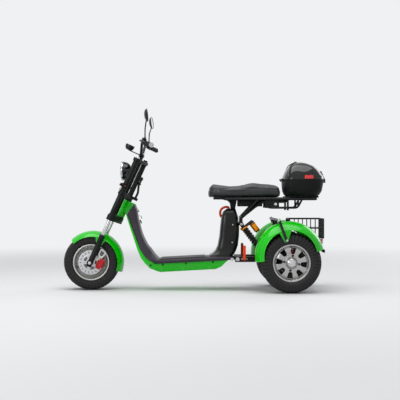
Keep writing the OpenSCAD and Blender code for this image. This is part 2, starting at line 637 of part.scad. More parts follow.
module footboard() color("#26242a") intersection() {
    across(-deck_half_w, deck_half_w) polygon([
        [deck_front_x, pan_top(deck_front_x) + seat_gap], [column_back_x, pan_top(column_back_x) + seat_gap],
        [column_back_x, deck_rear_z], [deck_rear_x, deck_rear_z], [deck_front_x, deck_front_z]]);
    translate([deck_front_x, 0, deck_front_z]) rotate([0, -atan(deck_slope), 0]) translate([-50, 0, 0])
        rotate([90, 0, 90]) linear_extrude(900) polygon([
            [-deck_half_w - 5, -90], [deck_half_w + 5, -90], [deck_half_w + 5, -board_t / 2 + 4],
            [deck_half_w - shield_chamfer, 0.5], [shield_chamfer - deck_half_w, 0.5],
            [-deck_half_w - 5, -board_t / 2 + 4]]);
}
module foot_mat() color("#18181a") translate([deck_front_x, 0, deck_front_z]) rotate([0,
    -atan(deck_slope), 0])
    translate([16, -deck_half_w + 22, fit]) cube([deck_rear_x - deck_front_x - 40, 2 * deck_half_w - 44,
        mat_t]);
pack_x = [deck_front_x + 40, column_back_x - 160];
pack_z = pan_top(column_back_x) - pan_depth + 6;
module belly_pan() color("#22c51c") difference() {
    intersection() {
        across(-200, 200) polygon([
            [fax + 434, pan_top(fax + 434)], [column_back_x - 42, pan_top(column_back_x - 42)],
            [column_back_x - 96, pan_top(column_back_x) - pan_depth + 12],
            [column_back_x - 140, pan_top(column_back_x - 140) - pan_depth],
            [deck_front_x + 16, pan_top(deck_front_x) - pan_depth],
            [deck_front_x - 24, pan_top(deck_front_x) - pan_depth + 14],
            [fax + 460, pan_top(fax + 460) - 32]]);
        rotate([90, 0, 90]) translate([0, 0, fax]) linear_extrude(1400) polygon([
            [-deck_half_w + 12, 320], [-deck_half_w + 12, 190], [-deck_half_w + 50, 100],
            [deck_half_w - 50, 100], [deck_half_w - 12, 190], [deck_half_w - 12, 320]]);
    }
    translate([pack_x[0] - 1, -86, pack_z]) cube([pack_x[1] - pack_x[0] + 2, 172, 100]);
}
module battery() color("#3a3d42") translate([pack_x[0], -85, pack_z + seat_gap])
    cube([pack_x[1] - pack_x[0], 170, pan_top(pack_x[0]) - pack_z - 2]);

// Seat column: height over the deck's rear end, front, back (from the rear axle), half width.
column_rows = [
    [0, -619, -430, 124], [10, -614, -428, 122], [20, -592, -418, 118], [44, -568, -405, 106], [84,
        -550, -390, 98],
    [156, -536, -381, 94], [236, -529, -379, 92], [316, -520, -390, 86], [352, -504, -402, 74], [372,
        -478, -408, 58]];
column_top = deck_rear_z + column_rows[len(column_rows) - 1][0];
module seat_column() color("#1c1c20")
    loft([for (c = column_rows) ring(deck_rear_z + seat_gap + c[0], rax + c[1], rax + c[2], c[3], 4)]);
module bag_handle() color("#c0431f")
    sweep(smooth_path([[rax - 531, 0, column_top - 58], [rax - 534, 0, column_top - 20],
        [rax - 500, 0, column_top + 12], [rax - 460, 0, column_top + 16],
        [rax - 460, 0, column_top + 2 * seat_gap]], 12, 4), 6);

// Seat: place along its length, half width, top and underside, all as shares of the seat's own sizes.
seat_x0 = box_x0 - seat_box_gap - seat_len;
seat_rows = [
    [0.00, 0.42, 0.50, 0.10], [0.02, 0.62, 0.82, -0.02], [0.06, 0.78, 1.10, 0.00], [0.15, 0.92, 1.02, 0.00],
    [0.30, 1.00, 0.91, 0.00], [0.42, 0.99, 0.945, 0.00], [0.52, 0.96, 1.08, 0.00], [0.60, 0.94, 1.19, 0.00],
    [0.66, 0.94, 1.18, 0.00], [0.72, 0.93, 1.12, 0.00], [0.84, 0.91, 1.08, 0.00], [0.955, 0.86, 0.98, 0.00],
    [0.985, 0.80, 0.86, 0.02], [1.00, 0.72, 0.62, 0.12]];
function seat_ring(r) = [for (i = [0:23])
    let (t = 360 * (i + 0.5) / 24, c = cos(t), s = sin(t),
         lo = seat_base_z + fit + r[3] * seat_t, hi = seat_base_z + r[2] * seat_t)
    [seat_x0 + r[0] * seat_len, r[1] * seat_w / 2 * sgn(c) * pow(abs(c), 0.5),
     (lo + hi) / 2 + (hi - lo) / 2 * sgn(s) * pow(abs(s), 0.55)]];
module seat() color("#1d1d1f") loft([for (r = seat_rows) seat_ring(r)]);
module seat_pan() color("#151516") {
    translate([seat_x0 + 40, -rail_y + rail_d / 2 + 1, seat_base_z - 18])
        cube([seat_len - 60, rail_spread - rail_d - 2, 18 - seat_gap]);
    across(-46, 46) polygon([
        [rax - 516, seat_base_z - 17], [rax - 470, seat_base_z - 28], [rax - 452, seat_base_z - 46],
        [rax - 446, column_top + 3 * seat_gap], [rax - 412, column_top + 3 * seat_gap], [rax - 398,
            seat_base_z - 17]]);
}
module controller_box() color("#161618")
    translate([rax - 392, -84, seat_base_z - 72]) cube([190, 168, 54 - seat_gap]);

// Tubes from the column to the seat and back to the rack.
tube_y = 98;
module subframe() color("#1a1b1d") {
    both_sides() {
        rod([seat_x0 + 130, rail_y, rail_z], [box_x0 + 250, rail_y, rail_z], rail_d / 2);
        rod([rax - 366, rail_y, 566], [rax - 232, rail_y, rail_z], 10);
        sweep(smooth_path([[rax - 366, tube_y, 566], [rax - 266, tube_y, 646], [rax - 200, tube_y, 690],
            [rax - 20, tube_y, 690]], 60, 5), 11);
        rod([rax - 20, tube_y, 690], [rax - 20, rail_y, rail_z], 10);
        rod([rax - 366, 118, 566], [rax - 366, 118, 512], 9);
    }
    rod([rax - 366, -rail_y - 8, 566], [rax - 366, rail_y + 8, 566], 12);
    rod([rax - 366, -122, 516], [rax - 366, 122, 516], 10);
    rod([box_x0 + 250, -rail_y, rail_z], [box_x0 + 250, rail_y, rail_z], rail_d / 2);
    translate([rax - 26, -92, rail_z + rail_d / 2 - 4]) cube([262, 184, box_z0 - seat_base_z + 4 - seat_gap]);
    both_sides() {
        translate([rax - 183, rail_y - 7, 640]) cube([109, 6, rail_z - 640]);
        translate([0, rail_y - 4, 0]) {
            sweep(smooth_path([[rax - 140, 0, 642], [rax + 70, 0, 642], [rax + 108, 0, rail_z + 2]], 36,
                5), 8);
            rod([rax - 6, 0, 622], [rax - 6, 0, rail_z], 8);
            rod([rax + 74, 0, 650], [rax + 74, 0, rail_z], 7);
        }
    }
}
// Top box. Rows: height share, front, back, half width.
base_rows = [[0.00, 0.10, 0.86, 0.72], [0.08, 0.05, 0.90, 0.82], [0.30, 0.015, 0.955, 0.93],
    [0.70, 0.00, 0.985, 0.985], [1.00, 0.00, 1.00, 1.00]];
lid_rows = [[0.00, 0.00, 1.00, 1.00], [0.16, 0.02, 0.985, 0.985], [0.40, 0.06, 0.93, 0.94],
    [0.62, 0.11, 0.85, 0.87],
    [0.80, 0.17, 0.74, 0.77], [0.93, 0.25, 0.61, 0.60], [1.00, 0.34, 0.48, 0.36]];
function box_ring(r, z, inset) =
    ring(z, box_x0 + r[1] * box_len + inset, box_x0 + r[2] * box_len - inset, r[3] * box_w / 2 - inset,
        3.4, 32);
module box_base() color("#19191b") {
    difference() {
        loft([for (r = base_rows) box_ring(r, box_z0 + r[0] * box_base_h, 0)]);
        loft([for (r = base_rows) box_ring(r, box_z0 + box_wall + r[0] * (box_base_h - box_wall + 1),
            box_wall)]);
    }
    both_sides() {
        for (y = [50, 84]) translate([hinge[0], 0, box_seam_z]) across(y, y + 6) polygon([
            [12, -14], [12, -1], [7, -1], [4, 4], [-4, 5], [-5, -3], [4, -14]]);
        translate([hinge[0], 52, hinge[2]]) rotate([-90, 0, 0]) cylinder(r = 3.5, h = 36);
    }
}
module box_lid() color("#0d0d0f") {
    z0 = box_seam_z + 1;
    difference() {
        loft([for (r = lid_rows) box_ring(r, z0 + r[0] * box_lid_h, 0)]);
        loft([for (r = lid_rows) box_ring(r, z0 - 1 + r[0] * (box_lid_h - box_wall + 1), box_wall)]);
    }
    both_sides() difference() {
        union() {
            translate([hinge[0], 56.5, hinge[2]]) rotate([-90, 0, 0]) cylinder(r = 7, h = 27);
            translate([hinge[0], 56.5, hinge[2] + 2]) cube([13, 27, 5]);
        }
        translate([hinge[0], 50, hinge[2]]) rotate([-90, 0, 0]) cylinder(r = 3.5 + fit, h = 40);
    }
    difference() {
        intersection() {
            loft([for (r = lid_rows) box_ring(r, z0 + r[0] * box_lid_h, -lid_band)]);
            translate([box_x0 - 20, -box_w, z0 + 0.5]) cube([box_len + 60, 2 * box_w, 32]);
        }
        loft([for (r = lid_rows) box_ring(r, z0 - 1 + r[0] * (box_lid_h - box_wall + 1), box_wall - 1)]);
    }
    across(-32, 32) translate([box_x0 + box_len, z0]) polygon([
        [-30, 0.48 * box_lid_h], [-14, 0.50 * box_lid_h], [10, 12], [latch_out, -2], [latch_out,
            -26], [4, -26],
        [4, -2], [-4, 2], [-8, 20]]);
}
lid_band = 2.5;
latch_out = rax + rear_reach - box_x0 - box_len;
module box_reflectors() color("#d01020") both_sides() difference() {
    translate([box_x0 + 0.49 * box_len, 0, box_seam_z + 5]) cube([66, box_w / 2 + lid_band + 3, 26]);
    loft([for (r = lid_rows) box_ring(r, box_seam_z + 1 + r[0] * box_lid_h, -lid_band - seat_gap)]);
}

// Rear axle, swingarm and what they carry.
arm_y = 118;
arm_z = 244;
pivot = [rax - 415, 0, arm_z];
module rear_axle() color("#202123") translate([rax, 0, raz]) rotate([90, 0, 0]) {
    cylinder(d = rear_axle_d, h = rear_track + 2 * (rear_rim_w / 2 - 34), center = true);
    cylinder(r = 30, h = rear_track - 102, center = true);
    cylinder(r = 84, h = 132, center = true);
    for (s = [-1, 1]) translate([-22, 0, s * (rear_track / 2 - 56) - 5.8]) cube([44,
        rear_disc_d / 2 - 2, 11.6]);
}
module swingarm() color("#242528") {
    difference() {
        both_sides() {
            translate([pivot[0], arm_y - 17, arm_z - 22]) cube([rax - pivot[0] + 40, 34, 44]);
            translate([shock_low[0] - 18, shock_low[1] + 14, arm_z])
                cube([36, arm_y - shock_low[1] - 17, shock_low[2] - arm_z + 14]);
            translate([shock_low[0], shock_low[1] - 11, shock_low[2]]) rotate([-90, 0, 0])
                cylinder(r = 8, h = arm_y - shock_low[1] + 9);
            translate([peg_x - 18, arm_y, peg_z - 8]) cube([36, peg_y - arm_y - 11, 16]);
            for (s = [-1, 1]) translate([peg_x + 15 * s - 3, peg_y - 20, peg_z - 8]) cube([6, 29, 16]);
            translate([peg_x - 17, peg_y, peg_z]) rotate([0, 90, 0]) cylinder(r = 4, h = 34);
        }
        translate([rax, 0, raz]) rotate([90, 0, 0]) cylinder(r = 30 + seat_gap, h = 600, center = true);
    }
    translate([pivot[0] + 22, -arm_y, arm_z - 18]) cube([40, 2 * arm_y, 36]);
    translate([column_back_x + seat_gap, -60, pan_top(column_back_x) + 2]) cube([60, 120, 20]);
}
// Uprights and cross bar that carry the fenders and the basket.
stay_x = rax - 100;
stay_z = raz + rear_fender_lift + rear_r + rear_fender_gap + fender_t + 16;
strap_y = rear_track / 2 + rear_fender_half_w + 1;
stay_y = strap_y + 5;
ear_foot = [rax - 44, raz + 172];
module rear_carriage() color("#17181a") {
    both_sides() {
        difference() {
            rod([rax - 70, arm_y, arm_z], [stay_x, arm_y, stay_z], 10);
            translate([rax - 200, 0, arm_z - 78]) cube([300, 200, 100 + seat_gap]);
        }
        across(strap_y, strap_y + 6) polygon([
            [stay_x - 9, stay_z + 8], [stay_x + 9, stay_z + 14], [ear_foot[0] + 10, ear_foot[1] + 4],
            [ear_foot[0] + 2, ear_foot[1] - 10], [ear_foot[0] - 8, ear_foot[1] - 4]]);
        rod([ear_foot[0], strap_y - 1 + seat_gap, ear_foot[1]], [ear_foot[0], strap_y + 3, ear_foot[1]], 8);
    }
    rod([stay_x, -stay_y, stay_z], [stay_x, stay_y, stay_z], 10);
    translate([basket_x0 + basket_len - 40, -130, 372]) cube([10 - seat_gap, 260, 20]);
    both_sides() translate([basket_x0 + basket_len - 40, 78, 372])
        cube([10 - seat_gap, 14, basket_z1 - basket_h - basket_bar - 372 - seat_gap]);
    both_sides() translate([rax + 20, arm_y - 6, 372]) cube([basket_len - 56, 12, 12]);
    both_sides() translate([rax + 20, arm_y - 6, arm_z + 22 + seat_gap]) cube([12, 12, 372 - arm_z - 20]);
    rod([stay_x + 22, 0, 0] + [0, -arm_y, basket_z1 - 40], [stay_x + 22, arm_y, basket_z1 - 40], 8);
}
rear_crown = rear_r + rear_fender_gap + fender_t + 5;
rear_edge = rear_crown - 64;
module rear_fenders() color("#22c51c") for (s = [-1, 1])
    translate([rax - 9, s * rear_track / 2, raz + rear_fender_lift]) {
        fender_arc(rear_crown, rear_edge, rear_fender_half_w, 11, 190);
        across(s * (rear_fender_half_w - 2) - 2, s * (rear_fender_half_w - 2) + 2) polygon([
            [-90, rear_edge - 14], [7, rear_edge + 6], [-24, 172 - rear_fender_lift - 14],
            [-46, 172 - rear_fender_lift - 14]]);
    }

basket_x0 = rax + 2;
basket_z1 = 560;
module basket() color("#141416") {
    x1 = basket_x0 + basket_len;
    b = basket_bar;
    for (z = [basket_z1, basket_z1 - basket_h / 2, basket_z1 - basket_h]) {
        for (s = [-1, 1]) translate([basket_x0, s * (basket_half_w - b / 2) - b / 2, z - b])
            cube([basket_len, b, b]);
        for (x = [basket_x0, x1 - b]) translate([x, -basket_half_w, z - b]) cube([b, 2 * basket_half_w, b]);
    }
    floor_z = basket_z1 - basket_h - b;
    for (i = [0:4], s = [-1, 1])
        translate([basket_x0 + i * (basket_len - b) / 4, s * (basket_half_w - b / 2) - b / 2, floor_z])
            cube([b, b, basket_h + b]);
    for (i = [1:4]) translate([0, -basket_half_w + i * (2 * basket_half_w - b) / 5, floor_z]) {
        for (x = [basket_x0, x1 - b]) translate([x, 0, 0]) cube([b, b, basket_h + b]);
        translate([basket_x0, 0, 0]) cube([basket_len, b, b]);
    }
}
module tail_lamps() color("#b01018") for (s = [-1, 1])
    translate([basket_x0 + basket_len - 30, s * 100, 382]) rotate([0, 90, 0]) cylinder(r = 18, h = 24);
module rear_calipers() color("#c00018") for (s = [-1, 1])
    translate([rax, s * (rear_track / 2 - 28), raz]) difference() {
        translate([-28, -22, rear_disc_d / 2 - 26]) cube([56, 44, 35]);
        translate([-60, -8, 0]) cube([120, 16, rear_disc_d / 2 + 5]);
    }

// Shock absorbers, left and right: frame on the shock with z' from the upper eye down.
shock_lean = 37.2;
shock_top = [rax - 366, shock_spread / 2, 516];
shock_low = shock_top + shock_len * [sin(shock_lean), 0, -cos(shock_lean)];
module on_shocks() both_sides() translate(shock_top) rotate([0, 180 - shock_lean, 0]) children();
module shock_dampers() color("#1a1a1c") on_shocks() difference() {
    union() {
        cylinder(r = 13, h = shock_len);
        for (z = [0, shock_len]) translate([0, 0, z]) rotate([90, 0, 0]) cylinder(r = 17, h = 20,
            center = true);
        translate([0, 0, 34]) cylinder(d = spring_d + 2, h = 10 - seat_gap);
        translate([0, 0, shock_len - 48 + seat_gap]) cylinder(d = spring_d + 2, h = 8);
        translate([-70, 0, 32]) cylinder(r = 20, h = 14);
        translate([-70, -9, 32]) cube([70, 18, 12 - seat_gap]);
    }
    rotate([90, 0, 0]) cylinder(r = 10 + pin_gap, h = 60, center = true);
    translate([0, 0, shock_len]) rotate([90, 0, 0]) cylinder(r = 8 + pin_gap, h = 60, center = true);
}
module shock_springs() color("#101012") on_shocks() translate([0, 0, 48])
    sweep([for (i = [0:10 * spring_turns]) let (a = 36 * i)
        [(spring_d / 2 - 5) * cos(a), (spring_d / 2 - 5) * sin(a),
            i / (10 * spring_turns) * (shock_len - 100)]],
        4, [0, 0, 1], 6);
module shock_reservoirs() color("#d08a18") on_shocks() {
    translate([-70, 0, 46 + seat_gap]) cylinder(r = 20, h = 78);
}

// Folding footpegs, drawn folded up.
peg_x = rax - 347;
peg_y = 190;
peg_z = arm_z + 4;
module footpeg(s) color("#b8320f") translate([peg_x, s * peg_y, peg_z]) {
    difference() {
        union() {
            across(-9, 9) polygon([[-10.5, 0], [10.5, 0], [10.5, peg_len - 18], [6, peg_len - 10], [-6, peg_len - 10],
                [-10.5, peg_len - 18]]);
            rotate([0, 90, 0]) cylinder(r = 9, h = 22, center = true);
        }
        rotate([0, 90, 0]) cylinder(r = 4 + fit, h = 40, center = true);
    }
}
module footpeg_left() footpeg(-1);
module footpeg_right() footpeg(1);

frame();
leg_shield();
footboard();
foot_mat();
belly_pan();
battery();
seat_column();
bag_handle();
seat();
seat_pan();
controller_box();
subframe();
box_base();
box_lid();
box_reflectors();
rear_axle();
swingarm();
rear_carriage();
rear_fenders();
basket();
tail_lamps();
rear_calipers();
shock_dampers();
shock_springs();
shock_reservoirs();
footpeg_left();
footpeg_right();
front_tyre();
front_rim();
front_disc();
front_axle();
fork_sliders();
fork_stanchions();
fork_shrouds();
lower_yoke();
middle_yoke();
upper_yoke();
handlebar();
grips();
brake_levers();
mirrors();
mirror_glass();
headlamp_bucket();
headlamp_ring();
headlamp_lens();
display();
horn();
front_signals();
front_fender();
front_caliper();
caliper_bracket();
loom();
rear_tyre_left();
rear_tyre_right();
rear_rim_left();
rear_rim_right();
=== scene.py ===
"""Dresses the three-wheeled electric scooter: finishes, tread, seat cover and small parts."""
import json
import math

import bmesh
import bpy
from bpy.props import FloatProperty, FloatVectorProperty, IntProperty, PointerProperty
from mathutils import Matrix, Vector


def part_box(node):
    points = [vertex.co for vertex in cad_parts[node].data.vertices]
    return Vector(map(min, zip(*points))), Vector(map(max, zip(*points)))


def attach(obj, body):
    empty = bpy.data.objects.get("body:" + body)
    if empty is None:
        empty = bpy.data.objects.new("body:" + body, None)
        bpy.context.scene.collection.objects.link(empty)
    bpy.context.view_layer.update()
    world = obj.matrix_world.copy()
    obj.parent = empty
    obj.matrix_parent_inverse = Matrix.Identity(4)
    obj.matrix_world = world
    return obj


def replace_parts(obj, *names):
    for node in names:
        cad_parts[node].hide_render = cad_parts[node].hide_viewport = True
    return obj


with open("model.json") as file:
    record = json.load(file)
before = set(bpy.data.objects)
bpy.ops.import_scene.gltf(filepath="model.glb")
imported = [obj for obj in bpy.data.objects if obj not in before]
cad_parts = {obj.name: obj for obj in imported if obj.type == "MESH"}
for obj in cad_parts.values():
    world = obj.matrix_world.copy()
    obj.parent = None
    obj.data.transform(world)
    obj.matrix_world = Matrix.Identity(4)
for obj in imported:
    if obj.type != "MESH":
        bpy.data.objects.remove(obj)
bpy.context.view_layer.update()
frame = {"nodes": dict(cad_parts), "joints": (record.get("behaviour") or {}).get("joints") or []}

bl_info = {
    "name": "Three-wheeled scooter",
    "version": (1, 0, 0),
    "blender": (4, 5, 0),
    "location": "View3D > Sidebar > Scooter",
    "description": "Finishes, tyre tread, seat cover and small parts of a three-wheeled scooter",
    "category": "Object",
}

NODES = frame["nodes"]
MM = 0.001
SIDES = (-1, 1)
FINISHES = {}


def middle(node):
    """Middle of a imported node's box, in millimetres."""
    low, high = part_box(node)
    return (low + high) / (2 * MM)


def extent(node):
    """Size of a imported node's box, in millimetres."""
    low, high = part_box(node)
    return (high - low) / MM


STEER = next(j for j in frame["joints"] if j["name"] == "steer")
RAKE = math.atan2(STEER["axis"][0], STEER["axis"][2])
FRONT = middle("front_tyre")
REAR = {-1: middle("rear_tyre_left"), 1: middle("rear_tyre_right")}
LEG_Y = middle("front_axle").y + extent("fork_stanchions").y / 2 - 16


def fork(u, y, w):
    """Point from fork measures: u behind the legs, y across, w up along the legs."""
    return Vector((
        FRONT.x + u * math.cos(RAKE) + w * math.sin(RAKE),
        y,
        FRONT.z - u * math.sin(RAKE) + w * math.cos(RAKE),
    ))


def fork_matrix(u, y, w):
    """Placement on the fork, with z along the legs."""
    return Matrix.Translation(fork(u, y, w)) @ Matrix.Rotation(RAKE, 4, "Y")


def number(name, words, default, **limits):
    """Number property; the words give its unit where Blender has none."""
    return FloatProperty(name=name, description=words, default=default, **limits)


class ScooterSizes(bpy.types.PropertyGroup):
    """Sizes of the dressing, in millimetres unless a unit says otherwise."""

    tread_depth: number("Tread depth", "Depth of the tread grooves in mm", 6.5, min=1, max=10)
    tread_pitches: IntProperty(
        name="Tread pitches", description="Tread blocks around a tyre", default=46, min=20, max=80)
    seat_voxel: number("Seat voxel", "Mesh size of the seat cover in mm", 5.0, min=4, max=8)
    seat_swell: number("Seat swell", "Most that the seat cover may swell, in mm", 3.0, min=0, max=16)
    seat_pressure: number("Seat pressure", "Pressure inside the seat cover", 2.5, min=0, max=10)
    camera_distance: number("Camera distance", "Distance of the camera", 7.0, unit="LENGTH")
    camera_height: number("Camera height", "Height of the camera", 0.7025, unit="LENGTH")
    camera_side: number("Camera offset", "Place of the camera along the scooter", 0.041, unit="LENGTH")
    camera_lens: number("Lens", "Focal length of the camera in mm", 79.83, unit="CAMERA")


def colour(name, words, default):
    """Colour property with an sRGB default."""
    return FloatVectorProperty(
        name=name, description=words, subtype="COLOR_GAMMA", size=3, min=0, max=1, default=default)


class ScooterColours(bpy.types.PropertyGroup):
    """Colours of the finishes."""

    green: colour("Green", "Gloss paint of the body", (0.03, 0.74, 0.02))
    shield: colour("Shield grey", "Moulded leg shield and column", (0.20, 0.185, 0.215))
    black: colour("Black", "Black mouldings and coated metal", (0.045, 0.045, 0.05))
    tyre: colour("Tyre", "Tyre rubber", (0.135, 0.13, 0.135))
    leather: colour("Seat", "Seat cover", (0.115, 0.114, 0.125))
    alloy: colour("Alloy", "Polished wheel alloy", (0.80, 0.80, 0.79))
    steel: colour("Steel", "Brake discs", (0.78, 0.78, 0.79))
    chrome: colour("Chrome", "Plated parts", (0.80, 0.80, 0.81))
    red: colour("Red", "Brake calipers", (0.72, 0.01, 0.04))
    lens_red: colour("Red lens", "Reflectors and tail lamps", (0.95, 0.02, 0.07))
    gold: colour("Gold", "Anodised shock parts", (0.90, 0.55, 0.10))
    orange: colour("Orange", "Footpegs and handle", (0.88, 0.26, 0.05))
    floor: colour("Floor", "Studio floor", (0.86, 0.86, 0.86))


class Value:
    """An output of a finish's nodes that takes part in sums."""

    def __init__(self, finish, socket):
        self.finish = finish
        self.socket = socket

    def sum(self, operation, *terms):
        return self.finish.node("ShaderNodeMath", {"operation": operation}, dict(enumerate(terms)))

    def __add__(self, other):
        return self.sum("ADD", self, other)

    def __radd__(self, other):
        return self.sum("ADD", other, self)

    def __sub__(self, other):
        return self.sum("SUBTRACT", self, other)

    def __rsub__(self, other):
        return self.sum("SUBTRACT", other, self)

    def __mul__(self, other):
        return self.sum("MULTIPLY", self, other)

    def __rmul__(self, other):
        return self.sum("MULTIPLY", other, self)


class Shading:
    """A tree of nodes."""

    def __init__(self, tree):
        self.tree = tree

    def node(self, kind, settings=None, sockets=None, out=0):
        made = self.tree.nodes.new(kind)
        for key, value in (settings or {}).items():
            setattr(made, key, value)
        for key, value in (sockets or {}).items():
            self.feed(made.inputs[key], value)
        return Value(self, made.outputs[out])

    def feed(self, socket, value):
        if isinstance(value, Value):
            self.tree.links.new(value.socket, socket)
        else:
            socket.default_value = value

    def ramp(self, value, low, high):
        return self.node("ShaderNodeMapRange", {"interpolation_type": "SMOOTHSTEP"}, {
            "Value": value, "From Min": low, "From Max": high})

    def background(self):
        """1 on rays that show the background: seen, mirrored or through glass."""
        kinds = ("Camera", "Glossy", "Transmission")
        rays = [self.node("ShaderNodeLightPath", out=f"Is {kind} Ray") for kind in kinds]
        return rays[0].sum("MINIMUM", rays[0] + rays[1] + rays[2], 1.0)


class Finish(Shading):
    """A material built from nodes."""

    def __init__(self, name, **constants):
        material = bpy.data.materials.new(name)
        material.use_nodes = True
        super().__init__(material.node_tree)
        self.shader = self.tree.nodes["Principled BSDF"]
        self.where = self.node("ShaderNodeTexCoord", out="Object")
        self.set(**constants)
        FINISHES[name] = material

    def set(self, **sockets):
        for key, value in sockets.items():
            self.feed(self.shader.inputs[key.replace("_", " ").title().replace("Ior", "IOR")], value)

    def noise(self, scale, detail=3.0, rough=0.55, where=None):
        return self.node("ShaderNodeTexNoise", None, {
            "Vector": where or self.where, "Scale": scale, "Detail": detail, "Roughness": rough})

    def patches(self, low, high, scale, detail=3.0, rough=0.55):
        """Noise drawn out into soft patches."""
        return self.ramp(self.noise(scale, detail, rough), low, high)

    def cells(self, scale, feature="F1"):
        return self.node("ShaderNodeTexVoronoi", {"feature": feature}, {
            "Vector": self.where, "Scale": scale}, "Distance")

    def stretched(self, x, y, z):
        return self.node("ShaderNodeVectorMath", {"operation": "MULTIPLY"}, {0: self.where, 1: (x, y, z)})

    def axis(self, name):
        return self.node("ShaderNodeSeparateXYZ", None, {0: self.where}, name)

    def blend(self, first, second, share):
        return self.node("ShaderNodeMix", {"data_type": "RGBA"}, {0: share, 6: first, 7: second}, 2)

    def bump(self, height, depth):
        """Relief of a height from 0 to 1, depth in mm."""
        return self.node("ShaderNodeBump", None, {"Height": height, "Distance": depth * MM})


def linear(rgb, gain=1.0):
    """Scene colour of an sRGB colour, made lighter or darker by gain."""
    def one(value):
        return value / 12.92 if value <= 0.04045 else ((value + 0.055) / 1.055) ** 2.4
    return tuple(min(one(v) * gain, 1.0) for v in rgb) + (1.0,)


def enamel(name, rgb, dust=0.3):
    """Gloss paint under clear coat, with soft smudges and road dust low down."""
    finish = Finish(name, coat_roughness=0.05, coat_ior=1.5, specular_ior_level=0.06)
    shade = finish.blend(linear(rgb, 0.90), linear(rgb, 1.08), finish.patches(0.3, 0.7, 3.2, 4))
    low = 1 - finish.ramp(finish.axis("Z"), 0.08, 0.34)
    film = low * finish.patches(0.46, 0.74, 26, 5, 0.65) * dust
    smudge = finish.patches(0.35, 0.75, 14, 4)
    peel = finish.noise(420, 1)
    finish.set(
        base_color=finish.blend(shade, (0.30, 0.28, 0.24, 1), film),
        roughness=0.26 + 0.10 * smudge + 0.4 * film,
        coat_weight=0.6 - 0.5 * film,
        normal=finish.bump(peel, 0.012),
    )


def moulded(name, rgb, rough=0.48, grain=900, depth=0.05, coat=0.0):
    """Moulded plastic with a fine grain, rubbed patches and a faint colour drift."""
    sharp = 0.03 if coat > 0.7 else 0.18
    finish = Finish(name, coat_roughness=sharp, specular_ior_level=0.18 - 0.13 * coat)
    grains = finish.cells(grain)
    rub = finish.patches(0.35, 0.75, 9, 5, 0.6)
    drift = finish.patches(0.3, 0.7, 2.6)
    streak = finish.noise(1, 4, 0.6, finish.stretched(14, 60, 90))
    low = (1 - finish.ramp(finish.axis("Z"), 0.15, 0.45)) * finish.patches(0.5, 0.78, 32, 5)
    base = finish.blend(linear(rgb, 0.82), linear(rgb, 1.22), drift)
    finish.set(
        base_color=finish.blend(base, linear((0.42, 0.40, 0.37)), low * 0.22),
        roughness=rough + 0.14 * rub - 0.08 * finish.ramp(streak, 0.55, 0.75) + 0.15 * low,
        coat_weight=coat * (1 - 0.5 * rub),
        normal=finish.bump(grains + 0.4 * streak, depth),
    )


def coated(name, rgb, rough=0.42):
    """Powder-coated metal with orange peel and bare edges rubbed lighter."""
    finish = Finish(name, specular_ior_level=0.16)
    peel = finish.noise(330, 2)
    rub = finish.patches(0.58, 0.8, 18, 6, 0.7)
    edge = finish.ramp(finish.node("ShaderNodeNewGeometry", out="Pointiness"), 0.53, 0.60)
    worn = edge * (0.35 + 0.65 * rub)
    finish.set(
        base_color=finish.blend(linear(rgb), linear((0.34, 0.34, 0.36)), worn * 0.45),
        roughness=rough + 0.12 * rub - 0.1 * worn,
        coat_weight=0.08 - 0.06 * rub,
        normal=finish.bump(peel, 0.03),
    )


def bright(name, rgb, rough, streaks=(240, 240, 8), grain=0.006, smudge_gain=0.16):
    """Bare or plated metal with fine working marks and finger smudges."""
    finish = Finish(name, metallic=1.0)
    marks = finish.noise(1, 3, 0.7, finish.stretched(*streaks))
    smudge = finish.patches(0.42, 0.78, 16, 5, 0.62)
    grime = finish.patches(0.58, 0.82, 46, 6, 0.7)
    finish.set(
        base_color=finish.blend(linear(rgb), linear(rgb, 0.55), 0.25 * smudge + 0.35 * grime),
        roughness=rough + 0.10 * marks + smudge_gain * smudge,
        normal=finish.bump(marks, grain),
    )


def turned(name, rgb, rough, rings=900, painted_shade_within=0.0):
    """Wheel metal with turning rings about the axle, and painted shade nearer the middle plane than the given
    distance: near-black, rough and not metallic.
    """
    finish = Finish(name)
    away = finish.axis("Y")
    # Painted shade: within that distance the rim's inner barrel and disc are coloured near-black, standing in
    # for the shade inside the wheel seen through the spoke windows.
    inside = 1 - finish.ramp(away.sum("ABSOLUTE", away), painted_shade_within - 0.006, painted_shade_within)
    marks = finish.noise(1, 2, 0.6, finish.stretched(30, rings, 30))
    cloud = finish.patches(0.36, 0.74, 11, 5, 0.6)
    grime = finish.patches(0.56, 0.8, 60, 6, 0.7)
    metal = finish.blend(linear(rgb), linear(rgb, 0.5), 0.3 * cloud + 0.4 * grime)
    finish.set(
        base_color=finish.blend(metal, (0.006, 0.006, 0.007, 1), inside),
        metallic=1 - inside,
        roughness=rough + 0.12 * cloud + 0.10 * grime + 0.4 * inside,
        normal=finish.bump(marks, 0.01),
    )


def rubber(name, rgb, rough=0.72, grain=700):
    """Rubber with a fine skin, pale bloom and patches of dust."""
    finish = Finish(name, specular_ior_level=0.35 if rough > 0.5 else 0.5)
    skin = finish.noise(grain, 4, 0.7)
    bloom = finish.patches(0.42, 0.76, 13, 5, 0.65)
    dust = finish.patches(0.55, 0.8, 95, 5, 0.7)
    base = finish.blend(linear(rgb, 0.75), linear(rgb, 1.3), bloom)
    finish.set(
        base_color=finish.blend(base, linear((0.36, 0.34, 0.32)), dust * 0.28),
        roughness=rough + 0.12 * bloom,
        normal=finish.bump(skin, 0.10),
    )


